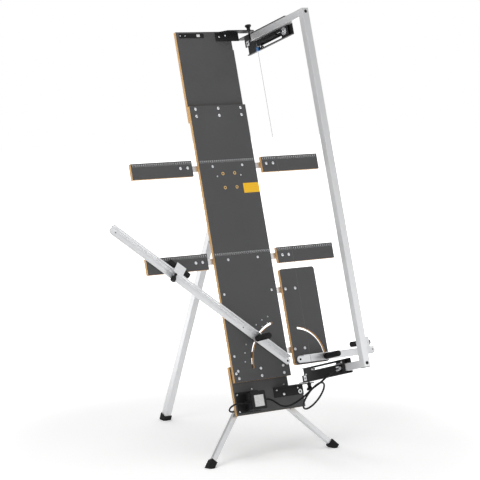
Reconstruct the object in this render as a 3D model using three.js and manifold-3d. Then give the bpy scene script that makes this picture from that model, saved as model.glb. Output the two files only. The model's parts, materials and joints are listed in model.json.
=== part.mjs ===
// Free-standing hot-wire cutter for rigid foam boards.
// Units are millimetres, +Z is up, and the front of the machine faces -Y.
//
// Most pieces are placed on the leaning board by three numbers [x, s, d]:
// x to the right of the main panel's centre line, s up along the board from the
// main panel's lower edge, and d out of the main panel's front face.
import * as THREE from 'three';
import * as BufferGeometryUtils from 'three/addons/utils/BufferGeometryUtils.js';
import Module from 'manifold-3d';

const wasm = await Module();
wasm.setup();

// ---------------------------------------------------------------- driving sizes
const LEAN = THREE.MathUtils.degToRad(17); // the board leans back by this much
const BOARD_FOOT = 311; // main panel's lower front edge above the floor
const CENTRE = [-11.7, 184.2]; // middle of the footprint, which becomes the origin
const GAP = 0.3; // air between pieces that rest on each other
const PLY = 15; // thickness of the coated plywood

const MAIN = { half: 139, length: 1145 };
const TOP = { left: -136, right: 139, notch: 4, from: 1080, notchAt: 1383, to: 1463 };
const LOWER = { left: -145, right: 127, footRight: 195, from: -133, step: -45, to: 67 };
const SIDE = { left: 169, right: 345, from: 38, to: 440, corner: 12 };
const ARM = { inner: 172, outer: 461, height: 66 };
const ARM_ROWS = { upper: 886, lower: 500 }; // heights of the arms' middles
const BAR = { height: 25, thick: 5 }; // flat steel that carries arms and side board
const SIDE_BAR_ROWS = { upper: 356, lower: 104 };

const WIRE = { x: 218, d: 45, from: 6, to: 1356, radius: 0.6 };
const TUBE = { size: 30, wall: 2 };
const BOW = { postFront: 415, top: 1438, bottom: -28.6, inner: 31 };
const PIVOT_D = 4; // the bow swings about a line at the wire's x and this depth

const LONG = { pivot: [129, 60], angle: 39.5, length: 950, slotRadius: 168 };
const SHORT = { pivot: [194, 59], angle: 0, length: 390, slotRadius: 132 };
const FENCE = { width: 30, wall: 3, ledge: 30, lift: 3.2 };
const SHORT_LEDGE = 25;
const GRIP = { radius: 12.6, length: 92, n: -1 }; // n is across the fence, clear of its ledge
const SLOT = { width: 10, groove: 25, grooveDepth: 3.5 };

const REAR = { s: 828, d: -50, foot: [0, 755], tube: 30, cap: 37 };
const FRONT = { x: 45, s: -30, d: -67, foot: [312, -74], tube: 20, cap: 29 };
const SOLE = 3; // rubber under a leg's end
const CUFF = 17; // rubber up round a leg's end

const MAINS_RADIUS = 3.5;
const LEAD_RADIUS = 4;
const COIL = { x: -75, s: 606, d: -29, inner: 25, outer: 53, deep: 14 };

// ---------------------------------------------------------------- materials
const finish = (color, roughness, metalness = 0) =>
  new THREE.MeshStandardMaterial({ color, roughness, metalness });
const coatedPly = finish(0x4a4a4b, 0.6);
const aluminium = finish(0xdcdddf, 0.38, 0.9);
const blackSteel = finish(0x151617, 0.45, 0.4);
const zincSteel = finish(0xb9bcc0, 0.35, 0.9);
const blackPlastic = finish(0x101112, 0.55);
const rubber = finish(0x18181a, 0.85);
const wireSteel = finish(0xa7a9ac, 0.3, 1);
const ceramic = finish(0x2f5f8f, 0.35);

// ---------------------------------------------------------------- solids
const X_AXIS = new THREE.Vector3(1, 0, 0);
const Y_AXIS = new THREE.Vector3(0, 1, 0);

/** A place on the board as a point in the board group's own axes. */
const at = ([x, s, d]) => new THREE.Vector3(x, -d, s);

/** Turns a closed geometry into a solid that can be cut and joined. */
function solid(geometry) {
  const bare = geometry.index ? geometry.toNonIndexed() : geometry.clone();
  for (const name of Object.keys(bare.attributes)) {
    if (name !== 'position') bare.deleteAttribute(name);
  }
  const merged = BufferGeometryUtils.mergeVertices(bare, 1e-4);
  return new wasm.Manifold(new wasm.Mesh({
    numProp: 3,
    vertProperties: new Float32Array(merged.attributes.position.array),
    triVerts: new Uint32Array(merged.index.array),
  }));
}

/** Turns a solid back into a geometry that a mesh can show. */
function geometryOf(manifold) {
  const { vertProperties, triVerts } = manifold.getMesh();
  const geometry = new THREE.BufferGeometry();
  geometry.setAttribute('position', new THREE.BufferAttribute(vertProperties, 3));
  geometry.setIndex(new THREE.BufferAttribute(triVerts, 1));
  const faceted = geometry.toNonIndexed();
  faceted.computeVertexNormals();
  return faceted;
}

const join = (first, ...others) => others.reduce((a, b) => a.add(b), first);
const cut = (first, ...others) => others.reduce((a, b) => a.subtract(b), first);

/** A block between two values of x, of s and of d. */
function block([x0, x1], [s0, s1], [d0, d1]) {
  const box = new THREE.BoxGeometry(x1 - x0, d1 - d0, s1 - s0);
  box.translate((x0 + x1) / 2, -(d0 + d1) / 2, (s0 + s1) / 2);
  return solid(box);
}

/** An outline drawn in x and s, made solid between two values of d. */
function plate(shape, [d0, d1], curveSegments = 12) {
  const slab = new THREE.ExtrudeGeometry(shape, { depth: d1 - d0, bevelEnabled: false, curveSegments });
  slab.translate(0, 0, d0);
  slab.rotateX(Math.PI / 2);
  return solid(slab);
}

/** A round bar, or a cone, between two places on the board. */
function rod(radius, from, to, segments = 16, endRadius = radius) {
  const a = at(from);
  const b = at(to);
  const bar = new THREE.CylinderGeometry(endRadius, radius, a.distanceTo(b), segments);
  const along = b.clone().sub(a).normalize();
  bar.applyQuaternion(new THREE.Quaternion().setFromUnitVectors(Y_AXIS, along));
  bar.translate(...a.add(b).multiplyScalar(0.5).toArray());
  return solid(bar);
}

/** A flexible round run through a list of places on the board. */
function run(radius, places, steps, sides = 8) {
  const section = new THREE.Shape().absarc(0, 0, radius, 0, Math.PI * 2);
  const path = new THREE.CatmullRomCurve3(places.map(at), false, 'centripetal');
  const geometry = new THREE.ExtrudeGeometry(section, {
    steps, extrudePath: path, curveSegments: sides / 2, bevelEnabled: false,
  });
  return solid(geometry);
}

/** A rectangle with its corners rounded, in x and s. */
function roundedOutline([x0, x1], [s0, s1], r) {
  const shape = new THREE.Shape();
  shape.moveTo(x0 + r, s0);
  shape.absarc(x1 - r, s0 + r, r, -Math.PI / 2, 0);
  shape.absarc(x1 - r, s1 - r, r, 0, Math.PI / 2);
  shape.absarc(x0 + r, s1 - r, r, Math.PI / 2, Math.PI);
  shape.absarc(x0 + r, s0 + r, r, Math.PI, Math.PI * 1.5);
  return shape;
}

/** The outline of an arc-shaped slot about a pivot, between two angles in degrees. */
function arcSlot([px, ps], radius, width, fromDeg, toDeg) {
  const from = THREE.MathUtils.degToRad(fromDeg);
  const to = THREE.MathUtils.degToRad(toDeg);
  const half = width / 2;
  const end = (a) => [px + radius * Math.cos(a), ps + radius * Math.sin(a)];
  const shape = new THREE.Shape();
  shape.absarc(px, ps, radius + half, from, to);
  shape.absarc(...end(to), half, to, to + Math.PI);
  shape.absarc(px, ps, radius - half, to, from, true);
  shape.absarc(...end(from), half, from + Math.PI, from + Math.PI * 2);
  return shape;
}

/** A fence's slot: narrow through the panel, with a wider groove behind for its nut. */
function fenceSlot({ pivot, slotRadius }, fromDeg, toDeg) {
  const groove = [-PLY - 1, -PLY + SLOT.grooveDepth];
  return join(
    plate(arcSlot(pivot, slotRadius, SLOT.width, fromDeg, toDeg), [-PLY - 1, 1], 20),
    plate(arcSlot(pivot, slotRadius, SLOT.groove, fromDeg, toDeg), groove, 20),
  );
}

// ---------------------------------------------------------------- scene graph
const cutter = new THREE.Group();
const stand = new THREE.Group();
stand.position.set(-CENTRE[0], -CENTRE[1], 0);
cutter.add(stand);

const board = new THREE.Group();
board.position.z = BOARD_FOOT;
board.rotation.x = -LEAN;
board.updateMatrix();
stand.add(board);

function piece(parent, name, shape, material) {
  const mesh = new THREE.Mesh(geometryOf(shape), material);
  mesh.name = name;
  parent.add(mesh);
  return mesh;
}

// ---------------------------------------------------------------- panels
const FACE = [-PLY, 0]; // depth of the main panel, the arms and the side board
const BEHIND = [-2 * PLY - GAP, -PLY - GAP]; // depth of the top and lower panels
const BAR_DEPTH = [-PLY - GAP - BAR.thick, -PLY - GAP];
const LOWER_BACK = BEHIND[0] - GAP; // where the front legs' brackets stand

function addPanels() {
  const { half, length } = MAIN;
  const main = cut(
    block([-half, half], [0, length], FACE),
    fenceSlot(LONG, 180 - 74.5, 182.5),
    rod(4.4, [...LONG.pivot, -PLY - 1], [...LONG.pivot, 1]),
  );
  piece(board, 'main_panel', main, coatedPly);

  const top = join(
    block([TOP.left, TOP.right], [TOP.from, TOP.notchAt], BEHIND),
    block([TOP.left, TOP.right - TOP.notch], [TOP.notchAt - 1, TOP.to], BEHIND),
  );
  piece(board, 'top_panel', top, coatedPly);

  const lower = join(
    block([LOWER.left, LOWER.right], [LOWER.from, LOWER.to], BEHIND),
    block([LOWER.right - 1, LOWER.footRight], [LOWER.from, LOWER.step], BEHIND),
  );
  piece(board, 'lower_panel', lower, coatedPly);

  const side = cut(
    plate(roundedOutline([SIDE.left, SIDE.right], [SIDE.from, SIDE.to], SIDE.corner), FACE, 6),
    fenceSlot(SHORT, -1.5, 82),
    rod(4.4, [...SHORT.pivot, -PLY - 1], [...SHORT.pivot, 1]),
  );
  piece(board, 'side_board', side, coatedPly);
}

function addArmsAndBars() {
  for (const [row, s] of Object.entries(ARM_ROWS)) {
    const height = [s - ARM.height / 2, s + ARM.height / 2];
    piece(board, `arm_${row}_left`, block([-ARM.outer, -ARM.inner], height, FACE), coatedPly);
    piece(board, `arm_${row}_right`, block([ARM.inner, ARM.outer], height, FACE), coatedPly);
    const bar = block([-247, 247], [s - BAR.height / 2, s + BAR.height / 2], BAR_DEPTH);
    piece(board, `${row}_arm_bar`, bar, zincSteel);
  }
  for (const [row, s] of Object.entries(SIDE_BAR_ROWS)) {
    const bar = block([-134, 250], [s - BAR.height / 2, s + BAR.height / 2], BAR_DEPTH);
    piece(board, `${row}_side_bar`, bar, zincSteel);
  }
}

// ---------------------------------------------------------------- bow hinges
const FLANGE = { half: 22, thick: 3 };
const HINGE_FRONT = [-PLY, -PLY + 3];

/** An angle bracket: a plate screwed to the board and a flange that holds the pivot bolt. */
function hingeBracket([x0, x1], [s0, s1], flangeS) {
  const { x } = WIRE;
  const { half, thick } = FLANGE;
  // drawn in x and -d, so that it lies flat at the flange's height
  const outline = new THREE.Shape();
  outline.moveTo(x0, PLY);
  outline.lineTo(x0, PLY - 6);
  outline.lineTo(x0 + 40, -PIVOT_D - half);
  outline.absarc(x, -PIVOT_D, half, -Math.PI / 2, Math.PI / 2);
  outline.lineTo(x - 30, -PIVOT_D + half);
  outline.lineTo(x - 50, PLY);
  const flange = new THREE.ExtrudeGeometry(outline, { depth: thick, bevelEnabled: false });
  flange.translate(0, 0, flangeS);
  return join(block([x0, x1], [s0, s1], HINGE_FRONT), solid(flange));
}

/** A pivot bolt along the board, from one height to another, with its head at the first. */
function pivotBolt(headS, endS) {
  const inward = Math.sign(endS - headS);
  return join(
    rod(8, [WIRE.x, headS, PIVOT_D], [WIRE.x, headS + inward * 5, PIVOT_D], 6),
    rod(5, [WIRE.x, headS + inward * 4, PIVOT_D], [WIRE.x, endS, PIVOT_D]),
  );
}

/** A flared knob on the pivot bolt, wide at its outer end. */
function flaredKnob(innerS, outward) {
  const profile = [[5.4, 0], [9, 0], [8, 8], [8.5, 15], [12.5, 19], [12.5, 26], [10, 28], [5.4, 28]];
  const points = profile.map(([r, h]) => new THREE.Vector2(r, h));
  const body = new THREE.LatheGeometry([...points, points[0]], 16);
  body.rotateX(outward > 0 ? Math.PI / 2 : -Math.PI / 2);
  body.translate(...at([WIRE.x, innerS, PIVOT_D]).toArray());
  return solid(body);
}

const UPPER_FLANGE = 1455;
const LOWER_FLANGE = -44;

function addHinges() {
  const bore = rod(5.3, [WIRE.x, -60, PIVOT_D], [WIRE.x, 1470, PIVOT_D]);
  const upper = cut(hingeBracket([57, 172], [1421, UPPER_FLANGE + 1], UPPER_FLANGE), bore);
  const lower = cut(hingeBracket([49, 195], [-82, LOWER_FLANGE + 1], LOWER_FLANGE), bore);
  piece(board, 'top_hinge_bracket', upper, blackSteel);
  piece(board, 'bottom_hinge_bracket', lower, blackSteel);
  piece(board, 'top_pivot_bolt', pivotBolt(1413, 1484), zincSteel);
  piece(board, 'bottom_pivot_bolt', pivotBolt(-3, -69), zincSteel);
  piece(board, 'top_lock_knob', flaredKnob(UPPER_FLANGE + FLANGE.thick + GAP, 1), blackPlastic);
  piece(board, 'bottom_lock_knob', flaredKnob(LOWER_FLANGE - GAP, -1), blackPlastic);
}

// ---------------------------------------------------------------- swinging carriages
const WEB = [WIRE.x + TUBE.size / 2 + 0.6, WIRE.x + TUBE.size / 2 + 3.6];
const OPEN_SIDE = WIRE.x - TUBE.size / 2 - 1;
const LIP_SIDE = WIRE.x + 7; // the flange next to the wire stops short of it
const SHEET = 3;

/** A slot along the bow's travel, through the carriage's web. */
function travelSlot(s, [d0, d1], width) {
  const half = width / 2;
  const through = [WEB[0] - 1, WEB[1] + 1];
  return join(
    block(through, [s - half, s + half], [d0 + half, d1 - half]),
    rod(half, [through[0], s, d0 + half], [through[1], s, d0 + half], 12),
    rod(half, [through[0], s, d1 - half], [through[1], s, d1 - half], 12),
  );
}

/**
 * A folded steel channel that guides one arm of the bow. tubeSide and wireSide are the
 * heights of its two flanges' outer faces, and way points from the wire's side to the tube's.
 */
function carriage({ tubeSide, wireSide, rear, front, way, slotS, slotD, blockS, strap }) {
  const height = [Math.min(tubeSide, wireSide), Math.max(tubeSide, wireSide)];
  const tubeFlange = [tubeSide - way * SHEET, tubeSide].sort((a, b) => a - b);
  const wireFlange = [wireSide, wireSide + way * SHEET].sort((a, b) => a - b);
  const bore = rod(5.3, [WIRE.x, tubeSide - way * 60, PIVOT_D], [WIRE.x, tubeSide + way * 10, PIVOT_D]);
  const channel = join(
    block(WEB, height, [-43, front]),
    block([OPEN_SIDE, WEB[1]], tubeFlange, [rear, front]),
    block([LIP_SIDE, WEB[1]], wireFlange, [-43, front]),
    block([OPEN_SIDE + 1, WEB[0] + 1], blockS, [-16, 24]),
  );
  const closed = strap
    ? join(channel, block([OPEN_SIDE - SHEET, OPEN_SIDE + 0.2], strap.s, strap.d)) : channel;
  return cut(closed, bore, travelSlot(slotS, slotD, 9));
}

const UPPER_CARRIAGE = {
  tubeSide: 1441.6, wireSide: 1364, rear: -72, front: 289, way: 1,
  slotS: 1376, slotD: [52, 206], blockS: [1419, 1440],
};
const LOWER_CARRIAGE = {
  tubeSide: -37, wireSide: 23, rear: -43, front: 289, way: -1,
  slotS: 11, slotD: [12, 189], blockS: [-35, -8], strap: { s: [-37, 2], d: [46, 289] },
};

function addCarriages() {
  piece(board, 'upper_carriage', carriage(UPPER_CARRIAGE), blackSteel);
  piece(board, 'lower_carriage', carriage(LOWER_CARRIAGE), blackSteel);
  // the lead's terminal stands on the lower carriage's cover
  const face = OPEN_SIDE - SHEET - GAP;
  piece(board, 'lead_terminal', block([face - 14, face], [-27, 1], [240, 267]), blackPlastic);
}

// ---------------------------------------------------------------- sliding bow
const TUBE_X = [WIRE.x - TUBE.size / 2, WIRE.x + TUBE.size / 2];
const BORE_X = [TUBE_X[0] + TUBE.wall, TUBE_X[1] - TUBE.wall];

/** A length of square tube that reaches out from the board, open at its inner end. */
function bowArm([s0, s1]) {
  const end = BOW.postFront - TUBE.size - GAP;
  return cut(
    block(TUBE_X, [s0, s1], [BOW.inner, end]),
    block(BORE_X, [s0 + TUBE.wall, s1 - TUBE.wall], [BOW.inner - 1, end - 4]),
  );
}

/**
 * A strap along the arm that carries one end of the wire: a rail between two values of s and
 * of d, tabs that hang from its ends, and a pin that runs in the travel slot.
 */
function wireCarrier(railS, tabS, [d0, d1], tabLength, pinS, pinD) {
  const thick = [WIRE.x + 6, WIRE.x + 9];
  return join(
    block(thick, railS, [d0, d1]),
    block(thick, tabS, [d0, d0 + tabLength]),
    block(thick, tabS, [d1 - 36, d1]),
    rod(3.6, [WIRE.x + 8, pinS, pinD], [WEB[1] + 2, pinS, pinD], 12),
  );
}

function addBow() {
  const { postFront, top, bottom } = BOW;
  const post = cut(
    block(TUBE_X, [bottom, top], [postFront - TUBE.size, postFront]),
    block(BORE_X, [bottom - 1, top - 2], [postFront - TUBE.size + TUBE.wall, postFront - TUBE.wall]),
  );
  piece(board, 'bow_post', post, aluminium);
  piece(board, 'bow_upper_arm', bowArm([top - TUBE.size, top]), aluminium);
  piece(board, 'bow_lower_arm', bowArm([bottom, bottom + TUBE.size]), aluminium);

  const under = top - TUBE.size - GAP;
  const over = bottom + TUBE.size + GAP;
  piece(board, 'upper_wire_carrier',
    wireCarrier([1386, under], [1369, under], [40, 268], 27, 1376, 60), blackSteel);
  piece(board, 'lower_wire_carrier',
    wireCarrier([over, 5.6], [over, 18], [26, 262], 14, 11, 32), blackSteel);

  // the spring hangs between the wire's eyelet and its anchor, along the upper arm
  const springX = WIRE.x - 3;
  const spring = join(
    rod(6.5, [springX, 1391, 66], [springX, 1391, 196]),
    rod(2, [springX, 1391, 54], [springX, 1391, 70], 8),
    rod(2, [springX, 1391, 190], [springX, 1391, 228], 8),
  );
  piece(board, 'tension_spring', spring, blackSteel);
  const anchor = join(
    rod(16, [WIRE.x + 0.5, 1389, 243], [WIRE.x + 5.7, 1389, 243], 24),
    rod(4, [WIRE.x - 8, 1389, 243], [WIRE.x + 1, 1389, 243], 12),
  );
  piece(board, 'spring_anchor', anchor, zincSteel);
  const insulator = cut(
    rod(6.5, [WIRE.x, 1359, WIRE.d], [WIRE.x, 1376, WIRE.d]),
    rod(1.2, [WIRE.x, 1350, WIRE.d], [WIRE.x, 1380, WIRE.d], 8),
  );
  const sleeve = block([WIRE.x + 5.7, WIRE.x + 8], [1340, 1390], [30, 60]);
  piece(board, 'wire_insulator', cut(insulator, sleeve), ceramic);
  const wire = rod(WIRE.radius, [WIRE.x, WIRE.from, WIRE.d], [WIRE.x, WIRE.to + 14, WIRE.d], 8);
  piece(board, 'cutting_wire', wire, wireSteel);
}

// ---------------------------------------------------------------- fences
const radians = THREE.MathUtils.degToRad;

/** A group at a fence's pivot, turned so that the fence runs along its own -x or +x. */
function fenceGroup({ pivot, angle }) {
  const group = new THREE.Group();
  group.position.copy(at([...pivot, 0]));
  group.rotation.y = radians(angle);
  board.add(group);
  return group;
}

/** Orders two distances along a fence for a side of -1 or +1. */
const along = (side, u0, u1) => [side * u0, side * u1].sort((a, b) => a - b);

/** An angle fence with round ends: a flat leg on the board and a ledge that stands out. */
function fence({ length, slotRadius }, side, ledge, [slot0, slot1]) {
  const r = FENCE.width / 2;
  const flat = [FENCE.lift, FENCE.lift + FENCE.wall];
  const top = r - FENCE.wall;
  const bar = join(
    block(along(side, 0, length - r), [-r, r], flat),
    rod(r, [0, 0, flat[0]], [0, 0, flat[1]], 32),
    rod(r, [side * (length - r), 0, flat[0]], [side * (length - r), 0, flat[1]], 32),
    block(along(side, 6, length), [top, r], [flat[0], FENCE.lift + ledge]),
  );
  return cut(
    bar,
    rod(4.4, [0, 0, 0], [0, 0, 10]),
    rod(4.4, [side * slotRadius, GRIP.n, 0], [side * slotRadius, GRIP.n, 10]),
    block(along(side, slot0, slot1), [top - 1, r + 1], [16, 23]),
  );
}

/** A clamping grip: its nut runs in the groove and its handle stands out of the fence. */
function grip(u) {
  const { radius, length, n } = GRIP;
  const start = FENCE.lift + FENCE.wall + GAP;
  const end = start + length;
  return join(
    rod(11.6, [u, n, -PLY + 0.4], [u, n, -PLY + SLOT.grooveDepth - 0.7], 24),
    rod(4, [u, n, -PLY + 2], [u, n, start + 2]),
    rod(radius, [u, n, start], [u, n, end - 4], 32),
    rod(radius, [u, n, end - 4.01], [u, n, end], 32, radius - 4),
  );
}

/** A sliding stop's bracket: a foot on the ledge and a square face that stands up in front. */
function stopBracket(u, half, ledge, low) {
  const r = FENCE.width / 2;
  const front = FENCE.lift + ledge;
  return cut(
    join(
      block([u - half, u + half], [r + GAP, r + GAP + 3], [6, front + 4]),
      block([u - half, u + half], [low, low + 42], [front + 1, front + 4]),
    ),
    rod(3.3, [u, r - 1, 19.5], [u, r + 6, 19.5], 12),
  );
}

/** The round bumper that lies along the fence behind the stop's square face. */
function stopBumper(u0, u1, ledge) {
  const radius = 11.8;
  const d = FENCE.lift + ledge - radius - 1;
  const n = FENCE.width / 2 + 6 + GAP + radius;
  return rod(radius, [u0, n, d], [u1, n, d], 24);
}

/** The thumb knob under the ledge, whose screw clamps the stop. */
function stopKnob(u, low) {
  const r = FENCE.width / 2;
  return join(
    rod(10.5, [u, low, 19.5], [u, low + 21, 19.5], 20),
    rod(6, [u, low + 20, 19.5], [u, 8, 19.5], 16),
    rod(3, [u, 7, 19.5], [u, r + 6, 19.5], 12),
    rod(5.5, [u, r + 3 + 2 * GAP, 19.5], [u, r + 6, 19.5], 6),
  );
}

function addFences() {
  const long = fenceGroup(LONG);
  piece(long, 'long_fence', fence(LONG, -1, FENCE.ledge, [255, 915]), aluminium);
  piece(long, 'long_fence_grip', grip(-LONG.slotRadius), blackPlastic);
  piece(long, 'long_stop_bracket', stopBracket(-620, 23, FENCE.ledge, 3.3), aluminium);
  piece(long, 'long_stop_bumper', stopBumper(-672, -566, FENCE.ledge), rubber);
  piece(long, 'long_stop_knob', stopKnob(-620, -27), blackPlastic);

  const short = fenceGroup(SHORT);
  piece(short, 'short_fence', fence(SHORT, 1, SHORT_LEDGE, [190, 372]), aluminium);
  piece(short, 'short_fence_grip', grip(SHORT.slotRadius), blackPlastic);
  piece(short, 'short_stop_bracket', stopBracket(328, 20, SHORT_LEDGE, 15.3), aluminium);
  piece(short, 'short_stop_bumper', stopBumper(262, 360, SHORT_LEDGE), rubber);
  piece(short, 'short_stop_knob', stopKnob(328, -14), blackPlastic);
}

// ---------------------------------------------------------------- power supply and cords
function addPowerSupply() {
  const plateFace = [-PLY, -PLY + 3];
  piece(board, 'transformer_plate', block([-137, -28], [-124, -40], plateFace), blackSteel);
  const housing = plate(roundedOutline([-100, -33], [-120, -45], 5), [-PLY + 3 + GAP, 45], 3);
  piece(board, 'transformer_housing', housing, blackPlastic);
  piece(board, 'mains_gland', rod(6.5, [-100.3, -86, 12], [-121, -86, 12], 16, 4.4), rubber);
  piece(board, 'lead_gland', rod(7.5, [-32.7, -83.5, 15], [-15, -83.5, 15], 16, 5), rubber);

  // a bent rod behind the main panel that the wound mains cord hangs on
  const { x, s, inner } = COIL;
  const hookS = s + inner - 4.5;
  const hook = join(
    rod(4, [x, hookS, -PLY - GAP], [x, hookS, -48], 12),
    rod(4, [x, hookS - 2, -46], [x, hookS + 26, -46], 12),
    rod(11, [x, hookS, -PLY - GAP], [x, hookS, -PLY - GAP - 2.5], 20),
  );
  piece(board, 'cord_hook', hook, zincSteel);
}

// From the transformer round the lower panel's left edge and up behind the main panel.
const MAINS_ROUTE = [
  [-121.3, -86, 12], [-130, -85.6, 12], [-139, -84.6, 12], [-148, -84, 12], [-161.9, -85.9, 8.8],
  [-172.1, -91, 0], [-175.8, -98, -12], [-172.1, -105, -24], [-161.9, -110.1, -32.8],
  [-148, -112, -36], [-135, -112, -36], [-121, -108.2, -36], [-110.8, -98, -36],
  [-107, -84, -36], [-106, -64, -36], [-103.5, -38, -35.5], [-100.5, -10, -35], [-98, 30, -35],
  [-99, 75, -35], [-100, 115, -31.5], [-102, 160, -27], [-103, 230, -25], [-103, 300, -25],
  [-103, 356, -26], [-103, 430, -25], [-104, 499, -26], [-110, 540, -26], [-120, 572, -25.6],
  [-124.5, 606, -25.5],
];
// From the coil's last turn down to the plug.
const TAIL_ROUTE = [
  [-25.5, 606, -32.5], [-26, 590, -33.5], [-30, 573, -35], [-37, 558, -36], [-43, 546, -37],
  [-45.5, 536, -37], [-46, 526.3, -37],
];
// From the transformer along the lower edge, once round in a loop, to the terminal.
const LEAD_ROUTE = [
  [-14.4, -83.5, 15], [-4, -83.9, 15.4], [7, -87.5, 17.5], [18, -95.5, 21.5], [28, -106.5, 27.5],
  [39, -117.5, 35.5], [53, -124, 47], [71, -122.5, 64], [89, -112.5, 87], [107, -95, 118],
  [126.7, -75.3, 142.4], [148.2, -61.4, 147], [172.4, -54.1, 143.1], [194.9, -54.8, 131.6],
  [211.8, -63.2, 114.9], [219.6, -78.1, 96.1], [217.1, -96.7, 78.7], [204.6, -116, 65.8],
  [183.7, -132.5, 60.2], [157.4, -143.5, 64], [130.6, -147.1, 75.9], [107.6, -142.5, 94.4],
  [91.4, -130.8, 117.6], [84.4, -113.9, 142.1], [87.8, -94.7, 163.7], [100.5, -76.7, 179.3],
  [140, -53, 197.5], [160, -38.5, 207], [176, -27.5, 216.5], [186, -19.5, 225],
  [190.3, -15, 232], [191.4, -14, 238.6],
];

function addCords() {
  const { x, s, d, inner, outer, deep } = COIL;
  const section = [[inner, -deep / 2], [outer, -deep / 2], [outer, deep / 2], [inner, deep / 2]];
  const ring = (grow) => {
    const wide = section.map(([r, h]) => new THREE.Vector2(
      r + grow * Math.sign(r - (inner + outer) / 2), h + grow * Math.sign(h)));
    const lathe = new THREE.LatheGeometry([...wide, wide[0]], 48);
    lathe.translate(...at([x, s, d]).toArray());
    return solid(lathe);
  };
  const clearance = ring(GAP);
  piece(board, 'mains_cord', cut(run(MAINS_RADIUS, MAINS_ROUTE, 60), clearance), rubber);
  piece(board, 'mains_coil', ring(0), rubber);
  piece(board, 'mains_tail', cut(run(MAINS_RADIUS, TAIL_ROUTE, 8), clearance), rubber);
  const plug = join(
    rod(8, [-46, 526, -37], [-46, 512, -37], 24, 14),
    rod(16, [-46, 512.01, -37], [-46, 484, -37], 24),
    rod(2.4, [-55.5, 485, -37], [-55.5, 465, -37], 12),
    rod(2.4, [-36.5, 485, -37], [-36.5, 465, -37], 12),
  );
  piece(board, 'mains_plug', plug, rubber);
  piece(board, 'low_voltage_lead', run(LEAD_RADIUS, LEAD_ROUTE, 56), rubber);
}

// ---------------------------------------------------------------- legs
/** A place on the board as a point in the stand's upright axes. */
const upright = (place) => at(place).applyMatrix4(board.matrix);

/** Axes for a leg: its own -z runs from the pivot to the foot, its y lies along the pivot. */
function legFrame(pivot, foot, pivotAxis) {
  const up = pivot.clone().sub(foot).normalize();
  const across = pivotAxis.clone().addScaledVector(up, -pivotAxis.dot(up)).normalize();
  const frame = new THREE.Matrix4().makeBasis(across.clone().cross(up), across, up);
  return frame.setPosition(pivot);
}

const square = (half, [z0, z1]) => new THREE.BoxGeometry(2 * half, 2 * half, z1 - z0)
  .translate(0, 0, (z0 + z1) / 2);

/** A square tube leg with a cross hole for its pivot, and a rubber cap cut flat on the floor. */
function addLeg(name, footName, pivot, foot, pivotAxis, { tube, cap, pin, head }) {
  const frame = legFrame(pivot, foot, pivotAxis);
  const reach = pivot.distanceTo(foot);
  const drop = (pivot.z - foot.z) / reach;
  const slope = Math.sqrt(1 - drop ** 2) / drop;
  const half = tube / 2;
  const tubeEnd = -(reach - half * Math.SQRT2 * slope - SOLE);
  const through = new THREE.CylinderGeometry(pin + 0.3, pin + 0.3, tube + 2, 16);
  const leg = cut(
    solid(square(half, [tubeEnd, head])),
    solid(square(half - 1.6, [tubeEnd - 1, head + 1])),
    solid(through),
  );
  const group = new THREE.Group();
  group.applyMatrix4(frame);
  stand.add(group);
  piece(group, name, leg, aluminium);

  const pocket = square(half + GAP, [tubeEnd - GAP, tubeEnd + 200]).applyMatrix4(frame);
  const outside = square(cap / 2, [-reach - 4, tubeEnd + CUFF]).applyMatrix4(frame);
  const floor = new THREE.BoxGeometry(400, 400, 200).translate(foot.x, foot.y, -100);
  piece(stand, footName, cut(solid(outside), solid(pocket), solid(floor)), rubber);
}

function addRearLeg() {
  const pivot = upright([0, REAR.s, REAR.d]);
  const foot = new THREE.Vector3(REAR.foot[0], REAR.foot[1], 0);
  addLeg('rear_leg', 'rear_foot', pivot, foot, X_AXIS, { ...REAR, pin: 5, head: 20 });

  const back = -PLY - GAP;
  const ear = [REAR.s - 22, REAR.s + 22];
  const inner = REAR.tube / 2 + 1.2;
  const bracket = cut(
    join(
      block([-42, 42], [REAR.s - 45, REAR.s + 45], [back - 3, back]),
      block([-inner - 3, -inner], ear, [REAR.d - 16, back - 2]),
      block([inner, inner + 3], ear, [REAR.d - 16, back - 2]),
    ),
    rod(5.3, [-30, REAR.s, REAR.d], [30, REAR.s, REAR.d]),
  );
  piece(board, 'rear_leg_bracket', bracket, blackSteel);
  const end = inner + 3 + GAP;
  const pin = join(
    rod(5, [-end - 4, REAR.s, REAR.d], [end + 6, REAR.s, REAR.d]),
    rod(9, [-end - 6, REAR.s, REAR.d], [-end, REAR.s, REAR.d], 6),
    rod(9, [end, REAR.s, REAR.d], [end + 8, REAR.s, REAR.d], 6),
  );
  piece(board, 'rear_leg_pin', pin, zincSteel);
}

function addFrontLegs() {
  const backward = at([0, 0, -1]).transformDirection(board.matrix);
  for (const [name, side] of [['left', -1], ['right', 1]]) {
    const pivot = upright([side * FRONT.x, FRONT.s, FRONT.d]);
    const foot = new THREE.Vector3(side * FRONT.foot[0], FRONT.foot[1], 0);
    addLeg(`front_leg_${name}`, `front_foot_${name}`, pivot, foot, backward,
      { ...FRONT, pin: 4, head: 14 });

    // a hat-section bracket with the leg's threaded stud
    const back = LOWER_BACK;
    const x = side * FRONT.x;
    const faceD = FRONT.d + FRONT.tube / 2 + 5; // room for the leg, which leans forward
    const up = pivot.clone().sub(foot).normalize();
    const studAxis = backward.clone().addScaledVector(up, -backward.dot(up)).normalize();
    const local = studAxis.transformDirection(board.matrix.clone().invert());
    const place = (t) => [x + local.x * t, FRONT.s + local.z * t, FRONT.d - local.y * t];
    const bracket = join(
      block([x - 21, x + 21], [FRONT.s - 34, FRONT.s + 34], [back - 3, back]),
      block([x - 17, x + 17], [FRONT.s - 20, FRONT.s + 20], [faceD, back - 2]),
      rod(4, place(-16), place(18), 16),
    );
    const nut = rod(8, place(12.5), place(19), 6);
    piece(board, `front_leg_bracket_${name}`, join(bracket, nut), blackSteel);
  }
}

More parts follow.
